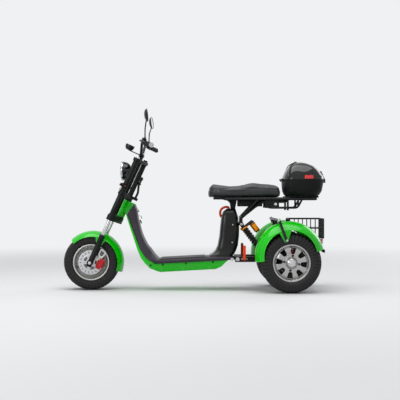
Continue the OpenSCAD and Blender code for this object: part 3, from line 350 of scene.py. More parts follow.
def leather(name, rgb):
    """Seat cover: pebbled grain with creases, satin sheen and lighter rubbed places."""
    finish = Finish(name, sheen_weight=0.06, sheen_roughness=0.4, specular_ior_level=0.45)
    pebble = finish.cells(520, "SMOOTH_F1")
    crease = finish.cells(240, "DISTANCE_TO_EDGE")
    rub = finish.patches(0.4, 0.72, 7, 4)
    fold = finish.noise(38, 4, 0.6)
    finish.set(
        base_color=finish.blend(linear(rgb, 0.8), linear(rgb, 1.35), rub * 0.6 + 0.4 * fold),
        roughness=0.36 + 0.14 * rub + 0.08 * fold,
        coat_weight=0.10 + 0.10 * rub,
        normal=finish.bump(0.6 * pebble + 0.5 * finish.ramp(crease, 0.0, 0.12) + 0.25 * fold, 0.16),
    )


def tinted(name, rgb, rough=0.08, ribs=260, clear=0.35):
    """Coloured lamp plastic with small prisms under a smooth face."""
    finish = Finish(name, transmission_weight=clear, ior=1.49, coat_roughness=0.03)
    prism = finish.cells(ribs, "DISTANCE_TO_EDGE")
    haze = finish.patches(0.4, 0.75, 20, 4)
    finish.set(
        base_color=finish.blend(linear(rgb, 0.72), linear(rgb, 1.15), finish.ramp(prism, 0.02, 0.3)),
        roughness=rough + 0.12 * haze,
        coat_weight=0.9 - 0.3 * haze,
        normal=finish.bump(prism, 0.08),
    )


def glass(name, rough=0.02):
    """Clear lamp glass with faint flutes."""
    finish = Finish(name, transmission_weight=1.0, ior=1.45, base_color=(0.96, 0.98, 1.0, 1))
    flute = finish.node("ShaderNodeTexWave", {"bands_direction": "Y"}, {
        "Vector": finish.where, "Scale": 26.0, "Distortion": 0.2}, "Fac")
    haze = finish.patches(0.45, 0.8, 24, 4)
    finish.set(roughness=rough + 0.08 * haze, normal=finish.bump(flute, 0.35))


def looking_glass(name):
    """Silvered mirror with a faint haze."""
    finish = Finish(name, metallic=1.0)
    haze = finish.patches(0.5, 0.8, 30, 5)
    finish.set(
        base_color=finish.blend((0.86, 0.88, 0.90, 1), (0.7, 0.72, 0.74, 1), haze),
        roughness=0.02 + 0.07 * haze,
    )


def lit(name, rgb):
    """Lit display segments of uneven brightness."""
    finish = Finish(name, roughness=0.3, emission_strength=0.8)
    glow = finish.patches(0.3, 0.7, 90, 2)
    finish.set(
        base_color=finish.blend(linear(rgb, 0.2), linear(rgb, 0.4), glow),
        emission_color=finish.blend(linear(rgb, 0.7), linear(rgb), glow),
    )


def make_finishes(c):
    """All finishes, named as the record's material slots are."""
    enamel("green_paint", c.green)
    moulded("grey_plastic", c.shield, 0.44, 1100, 0.03, 0.15)
    moulded("black_plastic", c.black, 0.55, 800, 0.06)
    moulded("gloss_black", c.black, 0.16, 500, 0.004, 0.9)
    moulded("satin_black", c.black, 0.30, 700, 0.01, 0.38)
    coated("black_metal", c.black)
    rubber("rubber", c.tyre)
    rubber("tyre", c.tyre, 0.68, 500)
    rubber("mat", c.tyre, 0.40, 700)
    leather("seat_leather", c.leather)
    turned("alloy", c.alloy, 0.17)
    # The rear rims carry painted shade: their inner side is near-black in place of the shade that falls
    # there.
    turned("wheel_alloy_painted_shade", [0.88 * v for v in c.alloy], 0.17, 900, 0.324)
    turned("steel", c.steel, 0.28, 1500)
    bright("chrome", c.chrome, 0.05, (160, 160, 12), 0.002, 0.08)
    enamel("red_paint", c.red, 0.5)
    tinted("red_lens", c.lens_red, 0.08, 420, 0.0)
    bright("gold", c.gold, 0.26, (30, 30, 420), 0.01)
    moulded("orange_plastic", c.orange, 0.4, 700, 0.05, 0.2)
    glass("lamp_glass")
    looking_glass("mirror_glass")
    bright("reflector", (0.93, 0.93, 0.93), 0.06, (90, 90, 90), 0.003, 0.03)
    tinted("amber_lens", (1.0, 0.48, 0.05), 0.08, 240)
    lit("lit_bars", (0.25, 0.95, 0.45))


# Points nearer than WELD (m) are joined, corners sharper than ROUND_FROM (degrees) are rounded, and those
# sharper than CREASE (degrees) stay sharp in the shading.
WELD = 0.00002
ROUND_FROM = 38
CREASE = 32


def shading_group(angle):
    """Modifier nodes that shade smooth, with edges sharper than angle kept."""
    tree = bpy.data.node_groups.new("smooth_by_angle", "GeometryNodeTree")
    for way in ("INPUT", "OUTPUT"):
        tree.interface.new_socket("Geometry", in_out=way, socket_type="NodeSocketGeometry")
    group = Shading(tree)
    measured = group.node("GeometryNodeInputMeshEdgeAngle", out="Unsigned Angle")
    sharper = group.node("FunctionNodeCompare", None, {0: measured, 1: angle}, "Result")
    faces = group.node("GeometryNodeSetShadeSmooth", None, {"Geometry": group.node("NodeGroupInput")})
    edges = group.node("GeometryNodeSetShadeSmooth", {"domain": "EDGE"}, {
        "Geometry": faces, "Selection": sharper, "Shade Smooth": False})
    group.feed(tree.nodes.new("NodeGroupOutput").inputs[0], edges)
    return tree


def dress(node, finish, rounding, group):
    """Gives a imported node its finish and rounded, smoothly shaded edges."""
    obj = NODES[node]
    obj.data.materials.clear()
    obj.data.materials.append(FINISHES[finish])
    weld = obj.modifiers.new("weld", "WELD")
    weld.merge_threshold = WELD
    if rounding:
        bevel = obj.modifiers.new("rounding", "BEVEL")
        bevel.width = rounding * MM
        bevel.segments = 3
        bevel.limit_method = "ANGLE"
        bevel.angle_limit = math.radians(ROUND_FROM)
        bevel.harden_normals = False
    smooth = obj.modifiers.new("shading", "NODES")
    smooth.node_group = group


def skin(bm, rings, closed=False):
    """Joins equal rings of points with faces, and caps the ends unless they close on each other."""
    loops = [[bm.verts.new(p) for p in points] for points in rings]
    count = len(loops[0])
    pairs = list(zip(loops, loops[1:]))
    if closed:
        pairs.append((loops[-1], loops[0]))
    for low, high in pairs:
        for i in range(count):
            j = (i + 1) % count
            bm.faces.new((low[i], low[j], high[j], high[i]))
    if not closed:
        bm.faces.new(list(reversed(loops[0])))
        bm.faces.new(loops[-1])


def tube(bm, path, radius, sides=12, closed=False):
    """Round bar along a path; radius is one number or one for each point."""
    path = [Vector(p) for p in path]
    count = len(path)
    radii = radius if isinstance(radius, (list, tuple)) else [radius] * count
    rings = []
    across = None
    for i, point in enumerate(path):
        if closed:
            along = path[(i + 1) % count] - path[i - 1]
        else:
            along = path[min(i + 1, count - 1)] - path[max(i - 1, 0)]
        along.normalize()
        if across is None:
            across = along.orthogonal().normalized()
        else:
            across = (across - along * across.dot(along)).normalized()
        other = along.cross(across)
        rings.append([
            point + radii[i] * (across * math.cos(a) + other * math.sin(a))
            for a in (2 * math.pi * k / sides for k in range(sides))])
    skin(bm, rings, closed)


def curve_through(points, steps=8):
    """Smooth path through a few points."""
    points = [Vector(p) for p in points]
    ends = [2 * points[0] - points[1]] + points + [2 * points[-1] - points[-2]]
    path = []
    for a, b, c, d in zip(ends, ends[1:], ends[2:], ends[3:]):
        for k in range(steps):
            t = k / steps
            path.append(0.5 * (2 * b + (c - a) * t + (2 * a - 5 * b + 4 * c - d) * t ** 2
                               + (3 * b - a - 3 * c + d) * t ** 3))
    path.append(points[-1])
    return path


def turn(bm, profile, matrix, sides=48):
    """Turned piece from (radius, height) pairs, closed on its axis."""
    rings = [
        [matrix @ Vector((max(r, 0.01) * math.cos(a), max(r, 0.01) * math.sin(a), h))
         for a in (2 * math.pi * k / sides for k in range(sides))]
        for r, h in profile]
    skin(bm, rings)


def ring(bm, profile, matrix, sides=64):
    """Turned ring from a closed outline of (radius, height) pairs."""
    rings = [
        [matrix @ Vector((r * math.cos(a), r * math.sin(a), h)) for r, h in profile]
        for a in (2 * math.pi * k / sides for k in range(sides))]
    skin(bm, rings, closed=True)


def block(bm, size, matrix, rounding, segments=3):
    """Block with rounded edges."""
    made = bmesh.ops.create_cube(bm, size=1, matrix=matrix @ Matrix.Diagonal((*size, 1)))
    edges = {e for v in made["verts"] for e in v.link_edges}
    bmesh.ops.bevel(
        bm, geom=list(edges), offset=rounding, segments=segments, profile=0.5, affect="EDGES",
        clamp_overlap=True)


def facing(point, direction):
    """Placement at a point with z along a direction."""
    turned_to = Vector(direction).to_track_quat("Z", "Y").to_matrix().to_4x4()
    return Matrix.Translation(Vector(point)) @ turned_to


def bolt(bm, point, direction, radius=6.0, height=5.0):
    """Hexagon bolt head on its washer, with a domed top."""
    place = facing(point, direction)
    washer = radius * 1.35
    turn(bm, [(washer, -0.5), (washer, 0.9), (radius * 1.2, 1.3), (radius, 1.3)], place, 24)
    turn(bm, [(radius, 1.0), (radius, height * 0.8), (radius * 0.86, height), (radius * 0.5, height),
              (radius * 0.45, height - 1.2)], place, 6)


def cap_screw(bm, point, direction, radius=5.0, height=5.0):
    """Round socket screw with a hexagon recess."""
    place = facing(point, direction)
    turn(bm, [(radius, -0.5), (radius, height * 0.8), (radius * 0.85, height), (radius * 0.58, height),
              (radius * 0.52, height - 1.8)], place, 18)


def add(name, data):
    """New object in the scene."""
    obj = bpy.data.objects.new(name, data)
    bpy.context.scene.collection.objects.link(obj)
    return obj


def piece(name, body, finish, build, crease=40):
    """New piece whose mesh the build function fills, in millimetres."""
    bm = bmesh.new()
    build(bm)
    bmesh.ops.remove_doubles(bm, verts=bm.verts, dist=0.002)
    bmesh.ops.recalc_face_normals(bm, faces=bm.faces)
    bmesh.ops.scale(bm, vec=(MM, MM, MM), verts=bm.verts)
    mesh = bpy.data.meshes.new(name)
    bm.to_mesh(mesh)
    bm.free()
    mesh.shade_smooth()
    mesh.set_sharp_from_angle(angle=math.radians(crease))
    mesh.materials.append(FINISHES[finish])
    obj = add(name, mesh)
    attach(obj, body)
    return obj


def both(build):
    """Build function that calls another one for the left side and for the right."""
    def on_sides(bm):
        for side in SIDES:
            build(bm, side)
    return on_sides


# Colour of the background, and distances in m over which the floor passes into it.
SKY = (0.87, 0.88, 0.89, 1)
FLOOR_FADE = (1.6, 7.0)
FLOOR_HALF = 40
# Lamps: name, place and aim in m, width and height in m, power in W.
PANELS = (
    ("sky_panel", (-0.3, -0.6, 4.6), (0, 0, 0.4), (6.0, 4.0), 225),
    ("front_panel", (-3.6, -4.6, 2.4), (0, 0, 0.6), (2.6, 2.6), 90),
    ("rear_panel", (4.4, 3.6, 2.8), (0, 0, 0.6), (3.0, 2.4), 80),
)


class ScooterStage(bpy.types.Operator):
    """Camera, floor, lamps and sky of the studio"""

    bl_idname = "scooter.stage"
    bl_label = "Studio"

    def execute(self, context):
        sizes = context.scene.scooter_sizes
        data = bpy.data.cameras.new("camera")
        data.lens = sizes.camera_lens
        data.sensor_width = 36
        data.clip_end = 200
        camera = add("camera", data)
        camera.location = (sizes.camera_side, -sizes.camera_distance, sizes.camera_height)
        camera.rotation_euler = (math.radians(90), 0, 0)
        context.scene.camera = camera
        context.scene.view_settings.view_transform = "Standard"
        self.add_floor(context)
        for panel in PANELS:
            self.add_lamp(*panel)
        self.add_sky(context)
        return {"FINISHED"}

    def add_floor(self, context):
        finish = Finish("studio_floor", specular_ior_level=0.2)
        speckle = finish.noise(60, 5, 0.6)
        tone = context.scene.scooter_colours.floor
        finish.set(
            base_color=finish.blend(linear(tone, 0.97), linear(tone, 1.03), speckle),
            roughness=0.62 + 0.12 * speckle)
        far = finish.node("ShaderNodeVectorMath", {"operation": "LENGTH"}, {0: finish.where}, "Value")
        pale = finish.node("ShaderNodeEmission", None, {"Color": SKY})
        mixed = finish.node("ShaderNodeMixShader", None, {
            0: finish.ramp(far, *FLOOR_FADE) * finish.background(),
            1: Value(finish, finish.shader.outputs[0]),
            2: pale})
        finish.feed(finish.tree.nodes["Material Output"].inputs["Surface"], mixed)
        mesh = bpy.data.meshes.new("floor")
        corners = [(x * FLOOR_HALF, y * FLOOR_HALF, 0) for x, y in ((-1, -1), (1, -1), (1, 1), (-1, 1))]
        mesh.from_pydata(corners, [], [(0, 1, 2, 3)])
        mesh.materials.append(FINISHES["studio_floor"])
        floor = add("floor", mesh)

    def add_lamp(self, name, place, target, spread, power):
        data = bpy.data.lights.new(name, "AREA")
        data.shape = "RECTANGLE"
        data.size, data.size_y = spread
        data.energy = power
        lamp = add(name, data)
        lamp.location = place
        aim = Vector(target) - Vector(place)
        lamp.rotation_euler = aim.to_track_quat("-Z", "Y").to_euler()

    def add_sky(self, context):
        world = bpy.data.worlds.new("studio")
        world.use_nodes = True
        context.scene.world = world
        sky = Shading(world.node_tree)
        lighting = sky.node("ShaderNodeBackground", None, {
            "Color": (0.80, 0.84, 0.90, 1), "Strength": 0.36})
        seen = sky.node("ShaderNodeBackground", None, {"Color": SKY})
        mixed = sky.node("ShaderNodeMixShader", None, {0: sky.background(), 1: lighting, 2: seen})
        sky.feed(sky.tree.nodes["World Output"].inputs["Surface"], mixed)


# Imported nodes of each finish, with the rounding of their edges in mm.
DRESSING = {
    "green_paint": {"frame": 4.0, "belly_pan": 5.0, "rear_fenders": 0.8, "front_fender": 0.8},
    "grey_plastic": {"leg_shield": 6.0, "footboard": 4.0},
    "mat": {"foot_mat": 1.2},
    "black_plastic": {
        "battery": 2.0, "seat_pan": 2.5, "controller_box": 3.0, "box_base": 0, "front_signals": 2.0},
    "satin_black": {"seat_column": 0},
    "orange_plastic": {"bag_handle": 0, "footpeg_left": 2.0, "footpeg_right": 2.0},
    "black_metal": {
        "subframe": 0, "rear_axle": 1.5, "swingarm": 2.5, "rear_carriage": 0, "basket": 1.2,
        "shock_dampers": 1.0, "shock_springs": 0, "fork_sliders": 1.0, "fork_shrouds": 0.8,
        "lower_yoke": 2.5, "middle_yoke": 2.0, "upper_yoke": 2.0, "handlebar": 0.5, "brake_levers": 1.5},
    "gloss_black": {"box_lid": 0, "mirrors": 0.6, "headlamp_bucket": 0.8, "display": 1.0},
    "red_lens": {"box_reflectors": 1.2, "tail_lamps": 1.5},
    "red_paint": {"rear_calipers": 2.0, "front_caliper": 3.0},
    "gold": {"shock_reservoirs": 1.5},
    "alloy": {"front_rim": 1.0, "caliper_bracket": 1.0},
    # Rear rims: alloy with painted shade on the inner side.
    "wheel_alloy_painted_shade": {"rear_rim_left": 1.0, "rear_rim_right": 1.0},
    "steel": {"front_disc": 0.4, "front_axle": 0.8},
    "chrome": {"fork_stanchions": 0.8, "headlamp_ring": 1.0, "horn": 2.0},
    "rubber": {"grips": 1.0, "loom": 0},
    "mirror_glass": {"mirror_glass": 0.3},
    "lamp_glass": {"headlamp_lens": 0},
}


class ScooterDress(bpy.types.Operator):
    """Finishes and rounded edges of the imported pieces"""

    bl_idname = "scooter.dress"
    bl_label = "Finishes"

    def execute(self, context):
        make_finishes(context.scene.scooter_colours)
        group = shading_group(math.radians(CREASE))
        for finish, nodes in DRESSING.items():
            for node, rounding in nodes.items():
                dress(node, finish, rounding, group)
        return {"FINISHED"}


# Radius of the rims' bead seats and height of their flanges in mm, share of a tyre's height where it is
# widest, and roundness of its crown.
BEAD = 127.0
FLANGE = 14.8
WIDEST = 0.42
CROWN = 0.62


def tyre_rows(radius, half, foot, depth):
    """Rows across half a tyre: radius, offset, groove depth, share and lean of the cross grooves."""
    edge = BEAD + FLANGE
    wide = edge + WIDEST * (radius - edge)

    def row(q, groove=0.0, share=0.0, lean=0.0):
        tilt = math.asin(min(q ** (1 / CROWN), 1))
        crown = wide + (radius - wide) * math.sqrt(max(math.cos(tilt), 0))
        return crown, q * half, groove, share, lean

    rows = [row(0.0), row(0.05)]
    for first, low, high, last in ((0.10, 0.11, 0.165, 0.175), (0.47, 0.48, 0.53, 0.54)):
        rows += [row(first), row(low, depth, 1.0), row(high, depth, 1.0), row(last, 0.0, 1.0)]
        if first < 0.3:
            rows += [row(q, 0.0, 1.0) for q in (0.25, 0.36, 0.44)]
    for q, share, lean in (
            (0.62, 1.0, 0.0), (0.72, 1.0, 0.1), (0.82, 1.0, 0.2), (0.90, 1.0, 0.35), (0.95, 1.0, 0.5),
            (0.98, 0.9, 0.7)):
        rows.append(row(q, 0.0, share, lean))
    rows.append((wide + 0.6, half, 0.0, 0.8, 0.9))
    for step in range(1, 11):
        s = math.radians(90 - 9 * step)
        out = foot + (half - foot) * math.sin(s) + (0.9 if step in (4, 5, 8) else 0.0)
        share = max(0.95 - 0.27 * step, 0.0)
        rows.append((edge + (wide - edge) * (1 - math.cos(s)), out, 0.0, share, 1.0))
    rows += [(BEAD + 6, foot - 0.5, 0.0, 0.0, 0.0), (BEAD + 0.6, foot - 2.0, 0.0, 0.0, 0.0)]
    return rows


# Columns of one tread pitch: place along the pitch and share of the groove's depth.
TREAD_COLUMNS = ((0.0, 0.0), (0.34, 0.0), (0.68, 0.0), (0.715, 1.0), (0.965, 1.0))


def fill_tyre(bm, centre, radius, half, foot, depth, pitches, sweep):
    """Treaded tyre about an axle along Y."""
    right = tyre_rows(radius, half, foot, depth)
    rows = [(r, -y, d, x, lean) for r, y, d, x, lean in reversed(right[1:])] + right
    rings = []
    for pitch in range(pitches):
        for along, low in TREAD_COLUMNS:
            points = []
            for r, y, groove, share, lean in rows:
                angle = 2 * math.pi * (pitch + along + sweep * min(abs(y) / half, 1)) / pitches
                deep = max(groove, depth * low * share)
                out = r - deep * (1 - lean)
                across = y - math.copysign(deep * lean, y)
                points.append(centre + Vector((out * math.cos(angle), across, out * math.sin(angle))))
            rings.append(points)
    skin(bm, rings, closed=True)


# Tyres: replaced node, body, name, middle, half width of the rim in mm, and sweep of the cross grooves in
# pitches.
TYRES = (
    ("front_tyre", "front_wheel", "front_tread", FRONT, 75.0, 1.1),
    ("rear_tyre_left", "rear_left_wheel", "rear_tread_left", REAR[-1], 79.0, 0.8),
    ("rear_tyre_right", "rear_right_wheel", "rear_tread_right", REAR[1], 79.0, 0.8),
)


class ScooterTyres(bpy.types.Operator):
    """Treaded tyres in place of the plain ones"""

    bl_idname = "scooter.tyres"
    bl_label = "Tyres"

    def execute(self, context):
        sizes = context.scene.scooter_sizes
        for node, body, name, centre, rim_half, sweep in TYRES:
            span = extent(node)

            def build(bm):
                fill_tyre(bm, centre, span.z / 2, span.y / 2, rim_half - 0.3, sizes.tread_depth,
                          sizes.tread_pitches, sweep)

            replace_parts(piece(name, body, "tyre", build, crease=50), node)
        return {"FINISHED"}


# Seat cover, in m: share of the length where one seam crosses, height of the side seam over the foot and its
# rise at the middle, half widths and depth of the seams, height where they begin, and height of the foot that
# is held. The simulation runs over SEAT_FRAMES frames.
STEP_SEAM = 0.50
SIDE_SEAM = 0.058
SIDE_RISE = 0.012
STEP_WIDTH = 0.006
SIDE_WIDTH = 0.0045
SEAM_DEPTH = 0.0032
SEAM_FROM = 0.03
HELD_FOOT = 0.008
SEAT_FRAMES = 20


class ScooterSeat(bpy.types.Operator):
    """Padded seat cover, swollen by a cloth simulation"""

    bl_idname = "scooter.seat"
    bl_label = "Seat cover"

    def execute(self, context):
        sizes = context.scene.scooter_sizes
        mesh = NODES["seat"].data.copy()
        obj = add("seat_cover", mesh)
        voxels = obj.modifiers.new("voxels", "REMESH")
        voxels.mode = "VOXEL"
        voxels.voxel_size = sizes.seat_voxel * MM
        soft = obj.modifiers.new("soften", "SMOOTH")
        soft.factor = 0.5
        soft.iterations = 5
        self.apply(context, obj)
        low = min(v.co.z for v in obj.data.vertices)
        rest = obj.vertex_groups.new(name="rest")
        rest.add([v.index for v in obj.data.vertices if v.co.z < low + HELD_FOOT], 1.0, "REPLACE")
        before = [v.co.copy() for v in obj.data.vertices]
        self.swell(context, obj, sizes)
        self.cap(obj, before, sizes.seat_swell * MM)
        self.press_seams(obj)
        finer = obj.modifiers.new("finer", "SUBSURF")
        finer.levels = 1
        finer.render_levels = 1
        self.apply(context, obj)
        obj.data.materials.clear()
        obj.data.materials.append(FINISHES["seat_leather"])
        obj.data.shade_smooth()
        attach(obj, "chassis")
        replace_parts(obj, "seat")
        return {"FINISHED"}

    def apply(self, context, obj):
        depsgraph = context.evaluated_depsgraph_get()
        made = bpy.data.meshes.new_from_object(obj.evaluated_get(depsgraph))
        obj.modifiers.clear()
        obj.data = made

    def swell(self, context, obj, sizes):
        cloth = obj.modifiers.new("cloth", "CLOTH")
        settings = cloth.settings
        settings.quality = 5
        settings.use_pressure = True
        settings.uniform_pressure_force = sizes.seat_pressure
        settings.effector_weights.gravity = 0
        settings.vertex_group_mass = "rest"
        settings.tension_stiffness = 25
        settings.compression_stiffness = 25
        settings.bending_stiffness = 2
        cloth.point_cache.frame_start = 1
        cloth.point_cache.frame_end = SEAT_FRAMES
        for moment in range(1, SEAT_FRAMES + 1):
            context.scene.frame_set(moment)
        self.apply(context, obj)
        context.scene.frame_set(1)

    def cap(self, obj, before, most):
        if len(before) != len(obj.data.vertices):
            raise RuntimeError("the seat cover's mesh changed during the simulation")
        for vertex, start in zip(obj.data.vertices, before):
            move = vertex.co - start
            if move.length > most:
                vertex.co = start + move.normalized() * most

    def press_seams(self, obj):
        """Sewn lines: around the sides below the crown, and across at the step."""
        low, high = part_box("seat")
        length = high.x - low.x
        for vertex in obj.data.vertices:
            share = (vertex.co.x - low.x) / length
            across = math.exp(-((share - STEP_SEAM) * length / STEP_WIDTH) ** 2)
            line = low.z + SIDE_SEAM + SIDE_RISE * math.sin(share * math.pi)
            around = math.exp(-((vertex.co.z - line) / SIDE_WIDTH) ** 2)
            if vertex.co.z > low.z + SEAM_FROM:
                depth = max(across if vertex.co.z > line else 0.0, 0.8 * around)
                vertex.co -= vertex.normal * SEAM_DEPTH * depth


# Places from the part's source, in mm: rear axle, deck and its rise, yokes as (start, thickness, radius of
# the eyes) along the fork, handlebar along the fork, headlamp, inner end of the grips, and footpegs.
RAX = REAR[-1].x
RAZ = REAR[-1].z
DECK_RISE = 0.05316
DECK = Matrix.Translation((-285, 0, 241)) @ Matrix.Rotation(-math.atan2(21, 395), 4, "Y")
YOKES = ((362, 44, 30), (578, 22, 29), (862, 26, 29))
BAR_W = 920
LAMP = Vector((-564, 0, 932))
GRIP_FROM = -120.2
PEG_X = RAX - 347
# Thickness of a tyre valve from its foot out.
VALVE_RADII = [7, 4.5, 3.4, 4.2]


def fork_dir(u, y, w):
    """Direction from fork measures."""
    return Matrix.Rotation(RAKE, 3, "Y") @ Vector((u, y, w))


def grip_place(side, x, y, z):
    """Placement on a grip: x out along the bar, y forward, z up."""
    turn_at, tip = Vector((-16, 200, 1014)), Vector((70, 382, 1018))
    out = (tip - turn_at).normalized()
    fore = Vector((0, 0, 1)).cross(out).normalized()
    axes = Matrix((out, fore, out.cross(fore))).transposed().to_4x4()
    flip = Matrix.Diagonal((1, side, 1, 1))
    return fork_matrix(0, 0, 0) @ flip @ Matrix.Translation(tip) @ axes @ Matrix.Translation((x, y, z))


def along_grip(side, x):
    """Placement on a grip with z out along the bar."""
    return grip_place(side, x, 0, 0) @ Matrix.Rotation(math.pi / 2, 4, "Y")


def shock_place(side):
    """Placement on a shock absorber: z from its upper eye down."""
    return Matrix.Translation((RAX - 366, 95 * side, 516)) @ Matrix.Rotation(math.radians(142.8), 4, "Y")


def on_wheel(centre, radius, degrees, y):
    """Point on a wheel."""
    a = math.radians(degrees)
    return Vector((centre.x + radius * math.cos(a), y, centre.z + radius * math.sin(a)))


class ScooterWheels(bpy.types.Operator):
    """Disc bolts, hub caps, lug nuts and valves of the wheels"""

    bl_idname = "scooter.wheels"
    bl_label = "Wheel details"

    def execute(self, context):
        piece("disc_bolts", "front_wheel", "steel", self.disc_bolts)
        piece("front_valve", "front_wheel", "rubber", self.front_valve)
        for side, name in ((-1, "left"), (1, "right")):
            body = f"rear_{name}_wheel"
            piece(f"hub_cap_{name}", body, "chrome", lambda bm: self.hub_cap(bm, side))
            piece(f"lug_nuts_{name}", body, "black_metal", lambda bm: self.lug_nuts(bm, side))
            piece(f"rear_valve_{name}", body, "rubber", lambda bm: self.rear_valve(bm, side))
        return {"FINISHED"}

    def disc_bolts(self, bm):
        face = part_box("front_disc")[0].y / MM
        for k in range(5):
            cap_screw(bm, on_wheel(FRONT, 46, 36 + 72 * k, face + 3), (0, -1, 0), 5.5, 4.5)
        for k in range(10):
            place = facing(on_wheel(FRONT, 64, 36 * k, face + 5), (0, -1, 0))
            turn(bm, [(5, -0.5), (5, 2.2), (4, 3), (2.6, 3), (2.2, 2)], place, 18)

    def front_valve(self, bm):
        path = [on_wheel(FRONT, r, 200, y) for r, y in ((111, -52), (108, -60), (104, -74), (103, -82))]
        tube(bm, path, VALVE_RADII, 14)

    def hub_cap(self, bm, side):
        outer = max(abs(v.y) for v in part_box("rear_rim_right")) / MM
        profile = [(22.5, -1.5), (22.5, 1.2), (20, 2.4), (13, 2.6), (12, 1.6), (10.5, 2.8), (4, 3.2),
                   (0, 3.2)]
        turn(bm, profile, facing((RAX, side * outer, RAZ), (0, side, 0)))

    def lug_nuts(self, bm, side):
        for k in range(4):
            place = facing(on_wheel(REAR[side], 57, 80 + 90 * k, side * 341), (0, side, 0))
            ring(bm, [(7, -0.5), (9.5, -0.5), (9.2, 0.8), (7.4, 1.0)], place, 28)
            turn(bm, [(6.8, -0.5), (6.8, 0.4), (5.2, 1.6), (0, 1.8)], place, 6)

    def rear_valve(self, bm, side):
        wheel = REAR[side]
        angle = -128.3 if side > 0 else 308.3
        path = [on_wheel(wheel, r, angle, side * y)
                for r, y in ((121, 322), (113, 330), (107, 341), (105, 349))]
        tube(bm, path, VALVE_RADII, 14)


class ScooterFork(bpy.types.Operator):
    """Seals, screws and caps of the fork, caliper details, clips of the loom"""

    bl_idname = "scooter.fork"
    bl_label = "Fork details"

    def execute(self, context):
        piece("fork_seals", "steering", "rubber", both(self.seals))
        piece("pinch_screws", "steering", "steel", self.pinch_screws)
        piece("leg_caps", "steering", "chrome", self.caps)
        piece("caliper_screws", "steering", "steel", self.caliper_screws)
        piece("piston_cover", "steering", "red_paint", self.piston_cover)
        piece("sleeve_clips", "steering", "black_plastic", self.sleeve_clips)
        return {"FINISHED"}

    def seals(self, bm, side):
        ring(bm, [(16.3, 227.5), (22.5, 227.5), (22.9, 231), (21, 235), (18.4, 239), (16.3, 239)],
             fork_matrix(0, side * LEG_Y, 0), 40)
        for w in (411, 573, 605, 857):
            ring(bm, [(22.1, -3), (23.2, -3), (23.6, 0), (23.2, 3), (22.1, 3)],
                 fork_matrix(0, side * LEG_Y, w), 40)

    def pinch_screws(self, bm):
        for start, thick, eye in YOKES:
            for side in SIDES:
                for share in ((0.27, 0.73) if thick > 30 else (0.5,)):
                    point = fork(-math.sqrt(eye ** 2 - 256), side * (LEG_Y - 16), start + share * thick)
                    cap_screw(bm, point, fork_dir(-1, 0, 0), 5.5, 6)
        for side in SIDES:
            for w in (-9, 9):
                cap_screw(bm, fork(-22.5, side * (LEG_Y + 6), w), fork_dir(-1, 0, 0), 4.5, 5)
            for u in (-3, 19):
                for y in (32, 48):
                    cap_screw(bm, fork(u, side * y, BAR_W + 15), fork_dir(0, 0, 1), 3.8, 5.5)

    def caps(self, bm):
        top = YOKES[2][0] + YOKES[2][1]
        for side in SIDES:
            turn(bm, [(15, 5), (15, 9), (13, 11), (8.5, 11), (8.5, 8)], fork_matrix(0, side * LEG_Y, top), 32)
        turn(bm, [(12, 11), (12, 15), (9, 18.5), (0, 20)], fork_matrix(55, 0, top), 32)

    def caliper_screws(self, bm):
        for u, w in ((55, 52), (94, -6)):
            cap_screw(bm, fork(u, -129.8, w), (0, -1, 0), 4.8, 5)
        for w in (84.5, 125):
            bolt(bm, fork(35.5, -136, w), (0, -1, 0), 4.2, 4)

    def piston_cover(self, bm):
        place = facing(fork(74, -142, 22), (0, -1, 0))
        turn(bm, [(20, -0.5), (20, 1.6), (18.5, 2.6), (14, 2.6), (13, 1.4), (5, 1.8), (0, 1.8)], place, 40)

    def sleeve_clips(self, bm):
        for w in (712, 752):
            ring(bm, [(9.1, -4), (10.6, -4), (10.6, 4), (9.1, 4)], fork_matrix(84.4, 0, w), 28)
            block(bm, (8, 12, 7), fork_matrix(95.5, 0, w), 1.5)


class ScooterBars(bpy.types.Operator):
    """Grip ribs, bar ends, switch keys, lever screws and tips"""

    bl_idname = "scooter.bars"
    bl_label = "Handlebar details"

    def execute(self, context):
        piece("grip_ribs", "steering", "rubber", both(self.ribs))
        piece("bar_ends", "steering", "chrome", both(self.ends))
        piece("lever_screws", "steering", "steel", both(self.screws))
        piece("lever_tips", "steering", "black_metal", both(self.lever_tips))
        piece("switch_keys", "steering", "black_plastic", both(self.keys))
        piece("stop_key", "steering", "red_paint", lambda bm: self.key(bm, 1, -20, 4, 9))
        piece("signal_key", "steering", "orange_plastic", lambda bm: self.key(bm, -1, -20, -3, 8))
        return {"FINISHED"}

    def ribs(self, bm, side):
        profile = [(16.2, 0), (17.6, 1), (17.9, 3.5), (17.6, 6), (16.2, 7)]
        for k in range(10):
            ring(bm, profile, along_grip(side, -112 + 11 * k), 40)

    def ends(self, bm, side):
        place = along_grip(side, 6.8)
        ring(bm, [(11, 0), (18.4, -6), (18.9, -3), (18.4, 1.6), (15.5, 3), (11, 2)], place, 40)
        turn(bm, [(9.5, -0.5), (9.5, 1.4), (6, 2.6), (0, 2.8)], place, 32)

    def screws(self, bm, side):
        for x, y, z, radius in ((-10, 36, 5, 5), (-30, 8, 32, 2.6), (-4, 26, 32, 2.6)):
            profile = [(radius, -0.5), (radius, 1.6), (radius * 0.8, 2.6), (radius * 0.5, 2.6),
                       (radius * 0.4, 1.4)]
            turn(bm, profile, grip_place(side, GRIP_FROM + x, y, z), 20)

    def lever_tips(self, bm, side):
        bmesh.ops.create_uvsphere(
            bm, u_segments=20, v_segments=12, radius=7.6, matrix=grip_place(side, GRIP_FROM + 126, 54, 0))

    def keys(self, bm, side):
        for x, z in ((-10, 6), (-28, -2)):
            self.key(bm, side, x, z, 7)

    def key(self, bm, side, x, z, size):
        block(bm, (size, 7, size), grip_place(side, GRIP_FROM + x, -17.5, z), 1.6)


# Profiles of the headlamp's bowl and bulb, heights from the front face.
BOWL = [(63, 2), (59, -14.5), (39.5, -42), (9, -50), (9, -48.5), (38, -40.5), (57, -13.5), (61, 2)]
BULB = [(8.5, -49), (8.5, -40), (6, -39), (6, -22), (4, -17), (0, -15)]


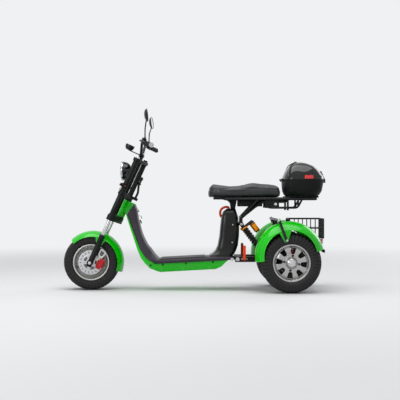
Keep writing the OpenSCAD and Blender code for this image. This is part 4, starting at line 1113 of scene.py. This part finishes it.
class ScooterLamps(bpy.types.Operator):
    """Headlamp bowl and bulb, signal lenses, horn grille, display face, tail lamp rims"""

    bl_idname = "scooter.lamps"
    bl_label = "Lamp details"

    def execute(self, context):
        ahead = facing(LAMP, (-1, 0, 0))
        piece("lamp_bowl", "steering", "reflector", lambda bm: ring(bm, BOWL, ahead, 72))
        piece("lamp_bulb", "steering", "lamp_glass", lambda bm: turn(bm, BULB, ahead, 28))
        piece("signal_lenses", "steering", "amber_lens", both(self.signals))
        piece("horn_grille", "steering", "chrome", self.horn)
        piece("display_face", "steering", "gloss_black", self.face)
        piece("display_bars", "steering", "lit_bars", self.bars)
        piece("tail_rims", "chassis", "chrome", both(self.tail_rims))
        return {"FINISHED"}

    def signals(self, bm, side):
        block(bm, (7, 29, 19), fork_matrix(-36.5, side * 186, 652), 3)
        block(bm, (5, 22, 13), fork_matrix(3, side * 186, 652), 2)

    def horn(self, bm):
        place = fork_matrix(-42, 0, 632) @ Matrix.Rotation(-math.pi / 2, 4, "Y")
        for radius in (31, 23, 15):
            ring(bm, [(radius - 2.2, -0.4), (radius + 2.2, -0.4), (radius + 1.4, 1.8), (radius - 1.4, 1.8)],
                 place, 48)
        turn(bm, [(8, -0.4), (8, 1.4), (6, 2.8), (0, 3.4)], place, 32)

    def face(self, bm):
        turn(bm, [(32, -0.3), (32, 1.2), (30.5, 2.1), (0, 2.6)], fork_matrix(-106, 0, 958), 64)

    def bars(self, bm):
        for k in range(5):
            block(bm, (4 + 1.6 * k, 5, 1.2), fork_matrix(-100 - 0.8 * k, -14 + 7 * k, 960.4), 0.5, 2)

    def tail_rims(self, bm, side):
        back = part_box("tail_lamps")[1].x / MM
        place = facing((back, side * 100, 382), (1, 0, 0))
        ring(bm, [(16.4, 0.4), (18.2, -7), (20.4, -7), (20.6, -1), (19, 2), (17, 2)], place, 48)


# Edges of the leg shield from the deck up, in mm, x from the front axle: front x and z, rear x and z, half
# width.
SHIELD_ROWS = (
    (523.8, 209.4, 523.8, 241, 150), (469, 230, 517, 249, 146), (442, 246, 504, 263, 139),
    (420, 268, 487, 284, 131), (402, 292, 466, 315, 125), (384, 318, 435, 354, 117),
    (363, 372, 399, 431, 106), (340, 432, 379, 501, 98), (318, 490, 364, 563, 91),
    (296.6, 546, 355, 625, 86), (280, 590, 338, 671, 82))
# How far its rear edge turns in.
SHIELD_TURN = 26


class ScooterShield(bpy.types.Operator):
    """Leg shield with a rounded rear edge"""

    bl_idname = "scooter.shield"
    bl_label = "Leg shield"

    def execute(self, context):
        shell = piece("shield_shell", "chassis", "grey_plastic", self.shell, crease=30)
        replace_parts(shell, "leg_shield")
        return {"FINISHED"}

    def shell(self, bm):
        fronts = curve_through([Vector((FRONT.x + fx, w, fz)) for fx, fz, rx, rz, w in SHIELD_ROWS], 5)
        rears = curve_through([Vector((FRONT.x + rx, w, rz)) for fx, fz, rx, rz, w in SHIELD_ROWS], 5)
        rings = []
        for front, rear in zip(fronts, rears):
            half = []
            for share in (0.0, 0.25, 0.5, 0.62, 0.74, 0.84, 0.92, 0.97, 1.0):
                turn_in = max(share - 0.5, 0) / 0.5
                point = front.lerp(rear, share)
                point.y = front.y - SHIELD_TURN * (1 - math.sqrt(max(1 - turn_in ** 2, 0)))
                half.append(point)
            rings.append([Vector((p.x, -p.y, p.z)) for p in half] + list(reversed(half)))
        skin(bm, rings)


# Path of the carry handle: x from the rear axle, z from 22 mm under its top.
HANDLE = (
    (-498, -64), (-512, -64), (-524, -57), (-529, -38), (-525, -12), (-509, 6), (-488, 14), (-466, 12),
    (-460, 0), (-460, -2))


class ScooterBody(bpy.types.Operator):
    """Bolts, switch, hook, lock and handle on the body, mat ribs, column screws"""

    bl_idname = "scooter.body"
    bl_label = "Body details"

    def execute(self, context):
        piece("pan_bolts", "chassis", "black_metal", self.pan_bolts)
        piece("pivot_bolts", "chassis", "steel", both(self.pivot_bolts))
        piece("mat_ribs", "chassis", "mat", self.mat_ribs)
        piece("key_switch", "chassis", "chrome", self.key_switch)
        piece("charge_cap", "chassis", "rubber", self.charge_cap)
        piece("bag_hook", "chassis", "chrome", self.bag_hook)
        piece("column_screws", "chassis", "steel", both(self.column_screws))
        piece("plate_lock", "chassis", "chrome", both(self.plate_lock))
        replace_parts(piece("handle_loop", "chassis", "orange_plastic", self.handle), "bag_handle")
        return {"FINISHED"}

    def handle(self, bm):
        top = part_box("bag_handle")[1].z / MM - 22
        path = [Vector((RAX + x, 0, top + z)) for x, z in HANDLE]
        tube(bm, curve_through(path, 6), 9.2, 20)

    def pan_bolts(self, bm):
        for x in (-340, -247, -68, 142):
            for side in SIDES:
                bolt(bm, (x, side * 138, 200 + DECK_RISE * (x + 285)), (0, side, 0), 5.6, 4.5)

    def pivot_bolts(self, bm, side):
        bolt(bm, (289, side * 150, 243), (0, side, 0), 8.8, 5)

    def mat_ribs(self, bm):
        for k in range(14):
            y = -112 + 224 * k / 13
            block(bm, (338, 9, 3.2), DECK @ Matrix.Translation((193.5, y, 4.6)), 1.2)

    def key_switch(self, bm):
        place = facing((-446, 0, 620), (0.97, 0, 0.17))
        turn(bm, [(13, -3), (13, 5), (11, 7), (7.5, 7), (7, 4.5), (2, 4.5)], place, 40)

    def charge_cap(self, bm):
        place = facing((-426, 0, 532), (0.94, 0, 0.35))
        turn(bm, [(15, -4), (15, 3), (13.5, 4.5), (6, 5.5), (0, 5.5)], place, 40)

    def bag_hook(self, bm):
        start = Vector((-438, 0, 574))
        path = [start + Vector(p) for p in ((-6, 0, 4), (8, 0, 5), (17, 0, -3), (19, 0, -13), (13, 0, -18))]
        tube(bm, curve_through(path, 6), 3.4, 14)

    def column_screws(self, bm, side):
        for x, y, z in ((296, 91.6, 509), (292, 95.3, 372)):
            cap_screw(bm, (x, side * y, z), (0, side, 0), 5, 3.2)

    def plate_lock(self, bm, side):
        place = facing((628, side * 115, 671), (0, side, 0))
        turn(bm, [(12, -1), (12, 3), (10.5, 4.5), (7, 4.5), (6.5, 3), (2, 3)], place, 36)


class ScooterRear(bpy.types.Operator):
    """Springs, collars, bolts and caps at the rear, fender tips, drum fins, peg pads"""

    bl_idname = "scooter.rear"
    bl_label = "Rear details"

    def execute(self, context):
        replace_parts(piece("springs", "chassis", "black_metal", both(self.springs)), "shock_springs")
        piece("shock_collars", "chassis", "gold", both(self.collars))
        piece("reservoir_caps", "chassis", "black_metal", both(self.reservoir_caps))
        piece("rear_bolts", "chassis", "steel", both(self.bolts))
        piece("bar_caps", "chassis", "chrome", both(self.bar_caps))
        piece("fender_tips", "chassis", "black_plastic", both(self.fender_tips))
        piece("motor_fins", "chassis", "black_metal", self.motor_fins)
        for side, name in ((-1, "left"), (1, "right")):
            piece(f"peg_pad_{name}", f"{name}_peg", "orange_plastic", lambda bm: self.peg_pad(bm, side))
            piece(f"peg_cap_{name}", f"{name}_peg", "chrome", lambda bm: self.peg_cap(bm, side))
        return {"FINISHED"}

    def springs(self, bm, side):
        coils, steps = 8, 32
        count = coils * steps
        place = shock_place(side)
        path = []
        for k in range(count + 1):
            a = 2 * math.pi * k / steps
            path.append(place @ Vector((22 * math.cos(a), 22 * math.sin(a), 48 + 181.2 * k / count)))
        tube(bm, path, 4.1, 10)

    def collars(self, bm, side):
        for low, high in ((33.4, 44.4), (232.8, 242.0)):
            profile = [(13.2, low), (28.6, low), (30.4, low + 1.6), (30.4, high - 1.6), (28.6, high),
                       (13.2, high)]
            ring(bm, profile, shock_place(side), 48)

    def reservoir_caps(self, bm, side):
        place = shock_place(side) @ Matrix.Translation((-70, 0, 0))
        turn(bm, [(20.6, 112), (20.6, 120), (18, 125), (9, 126.5), (8, 125), (0, 125)], place, 48)
        ring(bm, [(19.6, 50), (20.9, 50), (20.9, 56), (19.6, 56)], place, 48)

    def bolts(self, bm, side):
        out = (0, side, 0)
        for x, y, z, way, radius, height in (
                (-366, 122, 516, 1, 8, 6), (-196, 84, 292, -1, 7, 5), (-396, 135, 244, 1, 11, 8),
                (-37, 391, 400.5, 1, 6, 5)):
            bolt(bm, (RAX + x, side * y, z), (0, way * side, 0), radius, height)
        for x in (-46, 34):
            for z in (232, 256):
                cap_screw(bm, (RAX + x, side * 135, z), out, 5.5, 5.5)
        for x in (-18, 18):
            bolt(bm, (PEG_X + x, side * 190, 248), (x, 0, 0), 4.6, 4)
        for k in range(6):
            a = math.radians(60 * k + 15)
            cap_screw(bm, (RAX + 70 * math.cos(a), side * 66, RAZ + 70 * math.sin(a)), out, 5, 5)
        for x in (-17, 17):
            cap_screw(bm, (RAX + x, side * 242, RAZ + 94), (0, 0, 1), 4.5, 5)

    def bar_caps(self, bm, side):
        turn(bm, [(9.5, -2), (11.5, 0), (11.5, 3), (9, 6), (0, 7.4)],
             facing((RAX - 100, side * 391, 551), (0, side, 0)), 36)

    def fender_tips(self, bm, side):
        block(bm, (9, 150, 24), Matrix.Translation((RAX + 246, side * 270, 318)), 3)
        block(bm, (5, 90, 12), Matrix.Translation((RAX + 251, side * 270, 314)), 2)

    def motor_fins(self, bm):
        place = facing((RAX, 0, RAZ), (0, 1, 0))
        for k in range(9):
            y = -52 + 13 * k
            ring(bm, [(83.5, y - 2.2), (88.5, y - 1.4), (88.5, y + 1.4), (83.5, y + 2.2)], place, 72)

    def peg_pad(self, bm, side):
        for k in range(7):
            block(bm, (17, 4, 6), Matrix.Translation((PEG_X, side * 198.6, 268 + 11 * k)), 1.4)

    def peg_cap(self, bm, side):
        block(bm, (14, 20.5, 11), Matrix.Translation((PEG_X, side * 190, 353)), 3)


# Top box in mm: front edge, half length, half width, height of the seam and of the lid; and the power that
# squares its outline.
BOX_FRONT = RAX - 41
BOX_HALF = 160
BOX_WIDE = 190
SEAM_Z = 863
LID_TALL = 134
BOX_SQUARE = 0.588
# Outline of the lid: height share, front, back and half width as shares of the box.
LID_ROWS = (
    (0.00, 0.00, 1.00, 1.00), (0.16, 0.02, 0.985, 0.985), (0.40, 0.06, 0.93, 0.94), (0.62, 0.11, 0.85, 0.87),
    (0.80, 0.17, 0.74, 0.77), (0.93, 0.25, 0.61, 0.60), (1.00, 0.34, 0.48, 0.36))


def lid_point(row, degrees, grow):
    """Point on the lid's outside, turned about the box's middle."""
    share, front, back, half = row
    a = math.radians(degrees)
    c, s = math.cos(a), math.sin(a)
    along = BOX_HALF * (back - front) + grow
    x = BOX_FRONT + BOX_HALF * (front + back) + along * math.copysign(abs(c) ** BOX_SQUARE, c)
    y = (BOX_WIDE * half + grow) * math.copysign(abs(s) ** BOX_SQUARE, s)
    return Vector((x, y, SEAM_Z + LID_TALL * share))


class ScooterLuggage(bpy.types.Operator):
    """Lid rim, gasket, lock and washers of the top box"""

    bl_idname = "scooter.luggage"
    bl_label = "Luggage details"

    def execute(self, context):
        piece("lid_rim", "top_box_lid", "gloss_black", self.rim)
        piece("lid_gasket", "chassis", "rubber", self.gasket)
        piece("lid_lock", "top_box_lid", "chrome", self.lock)
        piece("box_washers", "chassis", "steel", self.washers)
        return {"FINISHED"}

    def rim(self, bm):
        left = [lid_point(row, -128 - 26 * row[0], 2.0) for row in LID_ROWS]
        right = [Vector((p.x, -p.y, p.z)) for p in reversed(left)]
        crown = (left[-1] + right[0]) / 2 + Vector((-6, 0, 3))
        tube(bm, curve_through(left + [crown] + right, 6), 6.5, 14)

    def gasket(self, bm):
        path = [lid_point(LID_ROWS[0], 5 * k, 0.2) - Vector((0, 0, 0.5)) for k in range(72)]
        tube(bm, path, 1.6, 8, closed=True)

    def lock(self, bm):
        place = facing((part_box("box_lid")[1].x / MM, 0, 850), (1, 0, 0))
        turn(bm, [(10, -1), (10, 1.4), (8.5, 2.4), (6, 2.4), (5.6, 1.2), (1.5, 1.2)], place, 36)

    def washers(self, bm):
        for x in (60, 200):
            for side in SIDES:
                turn(bm, [(11, -1), (11, 1.4), (8, 2.4), (5, 2.4), (5, 5), (4, 6), (0, 6)],
                     facing((BOX_FRONT + x, side * 60, 738), (0, 0, 1)), 28)


CLASSES = [
    ScooterSizes, ScooterColours, ScooterStage, ScooterDress, ScooterTyres, ScooterSeat, ScooterWheels,
    ScooterFork, ScooterBars, ScooterLamps, ScooterShield, ScooterBody, ScooterRear, ScooterLuggage]
STEPS = [c for c in CLASSES if issubclass(c, bpy.types.Operator)]


class ScooterPanel(bpy.types.Panel):
    """Sidebar panel that lists the steps and what can be set"""

    bl_idname = "VIEW3D_PT_scooter"
    bl_label = "Three-wheeled scooter"
    bl_space_type = "VIEW_3D"
    bl_region_type = "UI"
    bl_category = "Scooter"

    def draw(self, context):
        for step in STEPS:
            self.layout.operator(step.bl_idname)
        for group in (context.scene.scooter_sizes, context.scene.scooter_colours):
            for key in group.bl_rna.properties.keys():
                if key not in ("rna_type", "name"):
                    self.layout.prop(group, key)


def register():
    for cls in CLASSES + [ScooterPanel]:
        bpy.utils.register_class(cls)
    bpy.types.Scene.scooter_sizes = PointerProperty(type=ScooterSizes)
    bpy.types.Scene.scooter_colours = PointerProperty(type=ScooterColours)


def unregister():
    del bpy.types.Scene.scooter_sizes
    del bpy.types.Scene.scooter_colours
    for cls in reversed(CLASSES + [ScooterPanel]):
        bpy.utils.unregister_class(cls)


def main():
    register()
    for step in STEPS:
        group, name = step.bl_idname.split(".")
        getattr(getattr(bpy.ops, group), name)()


if __name__ == "__main__":
    main()
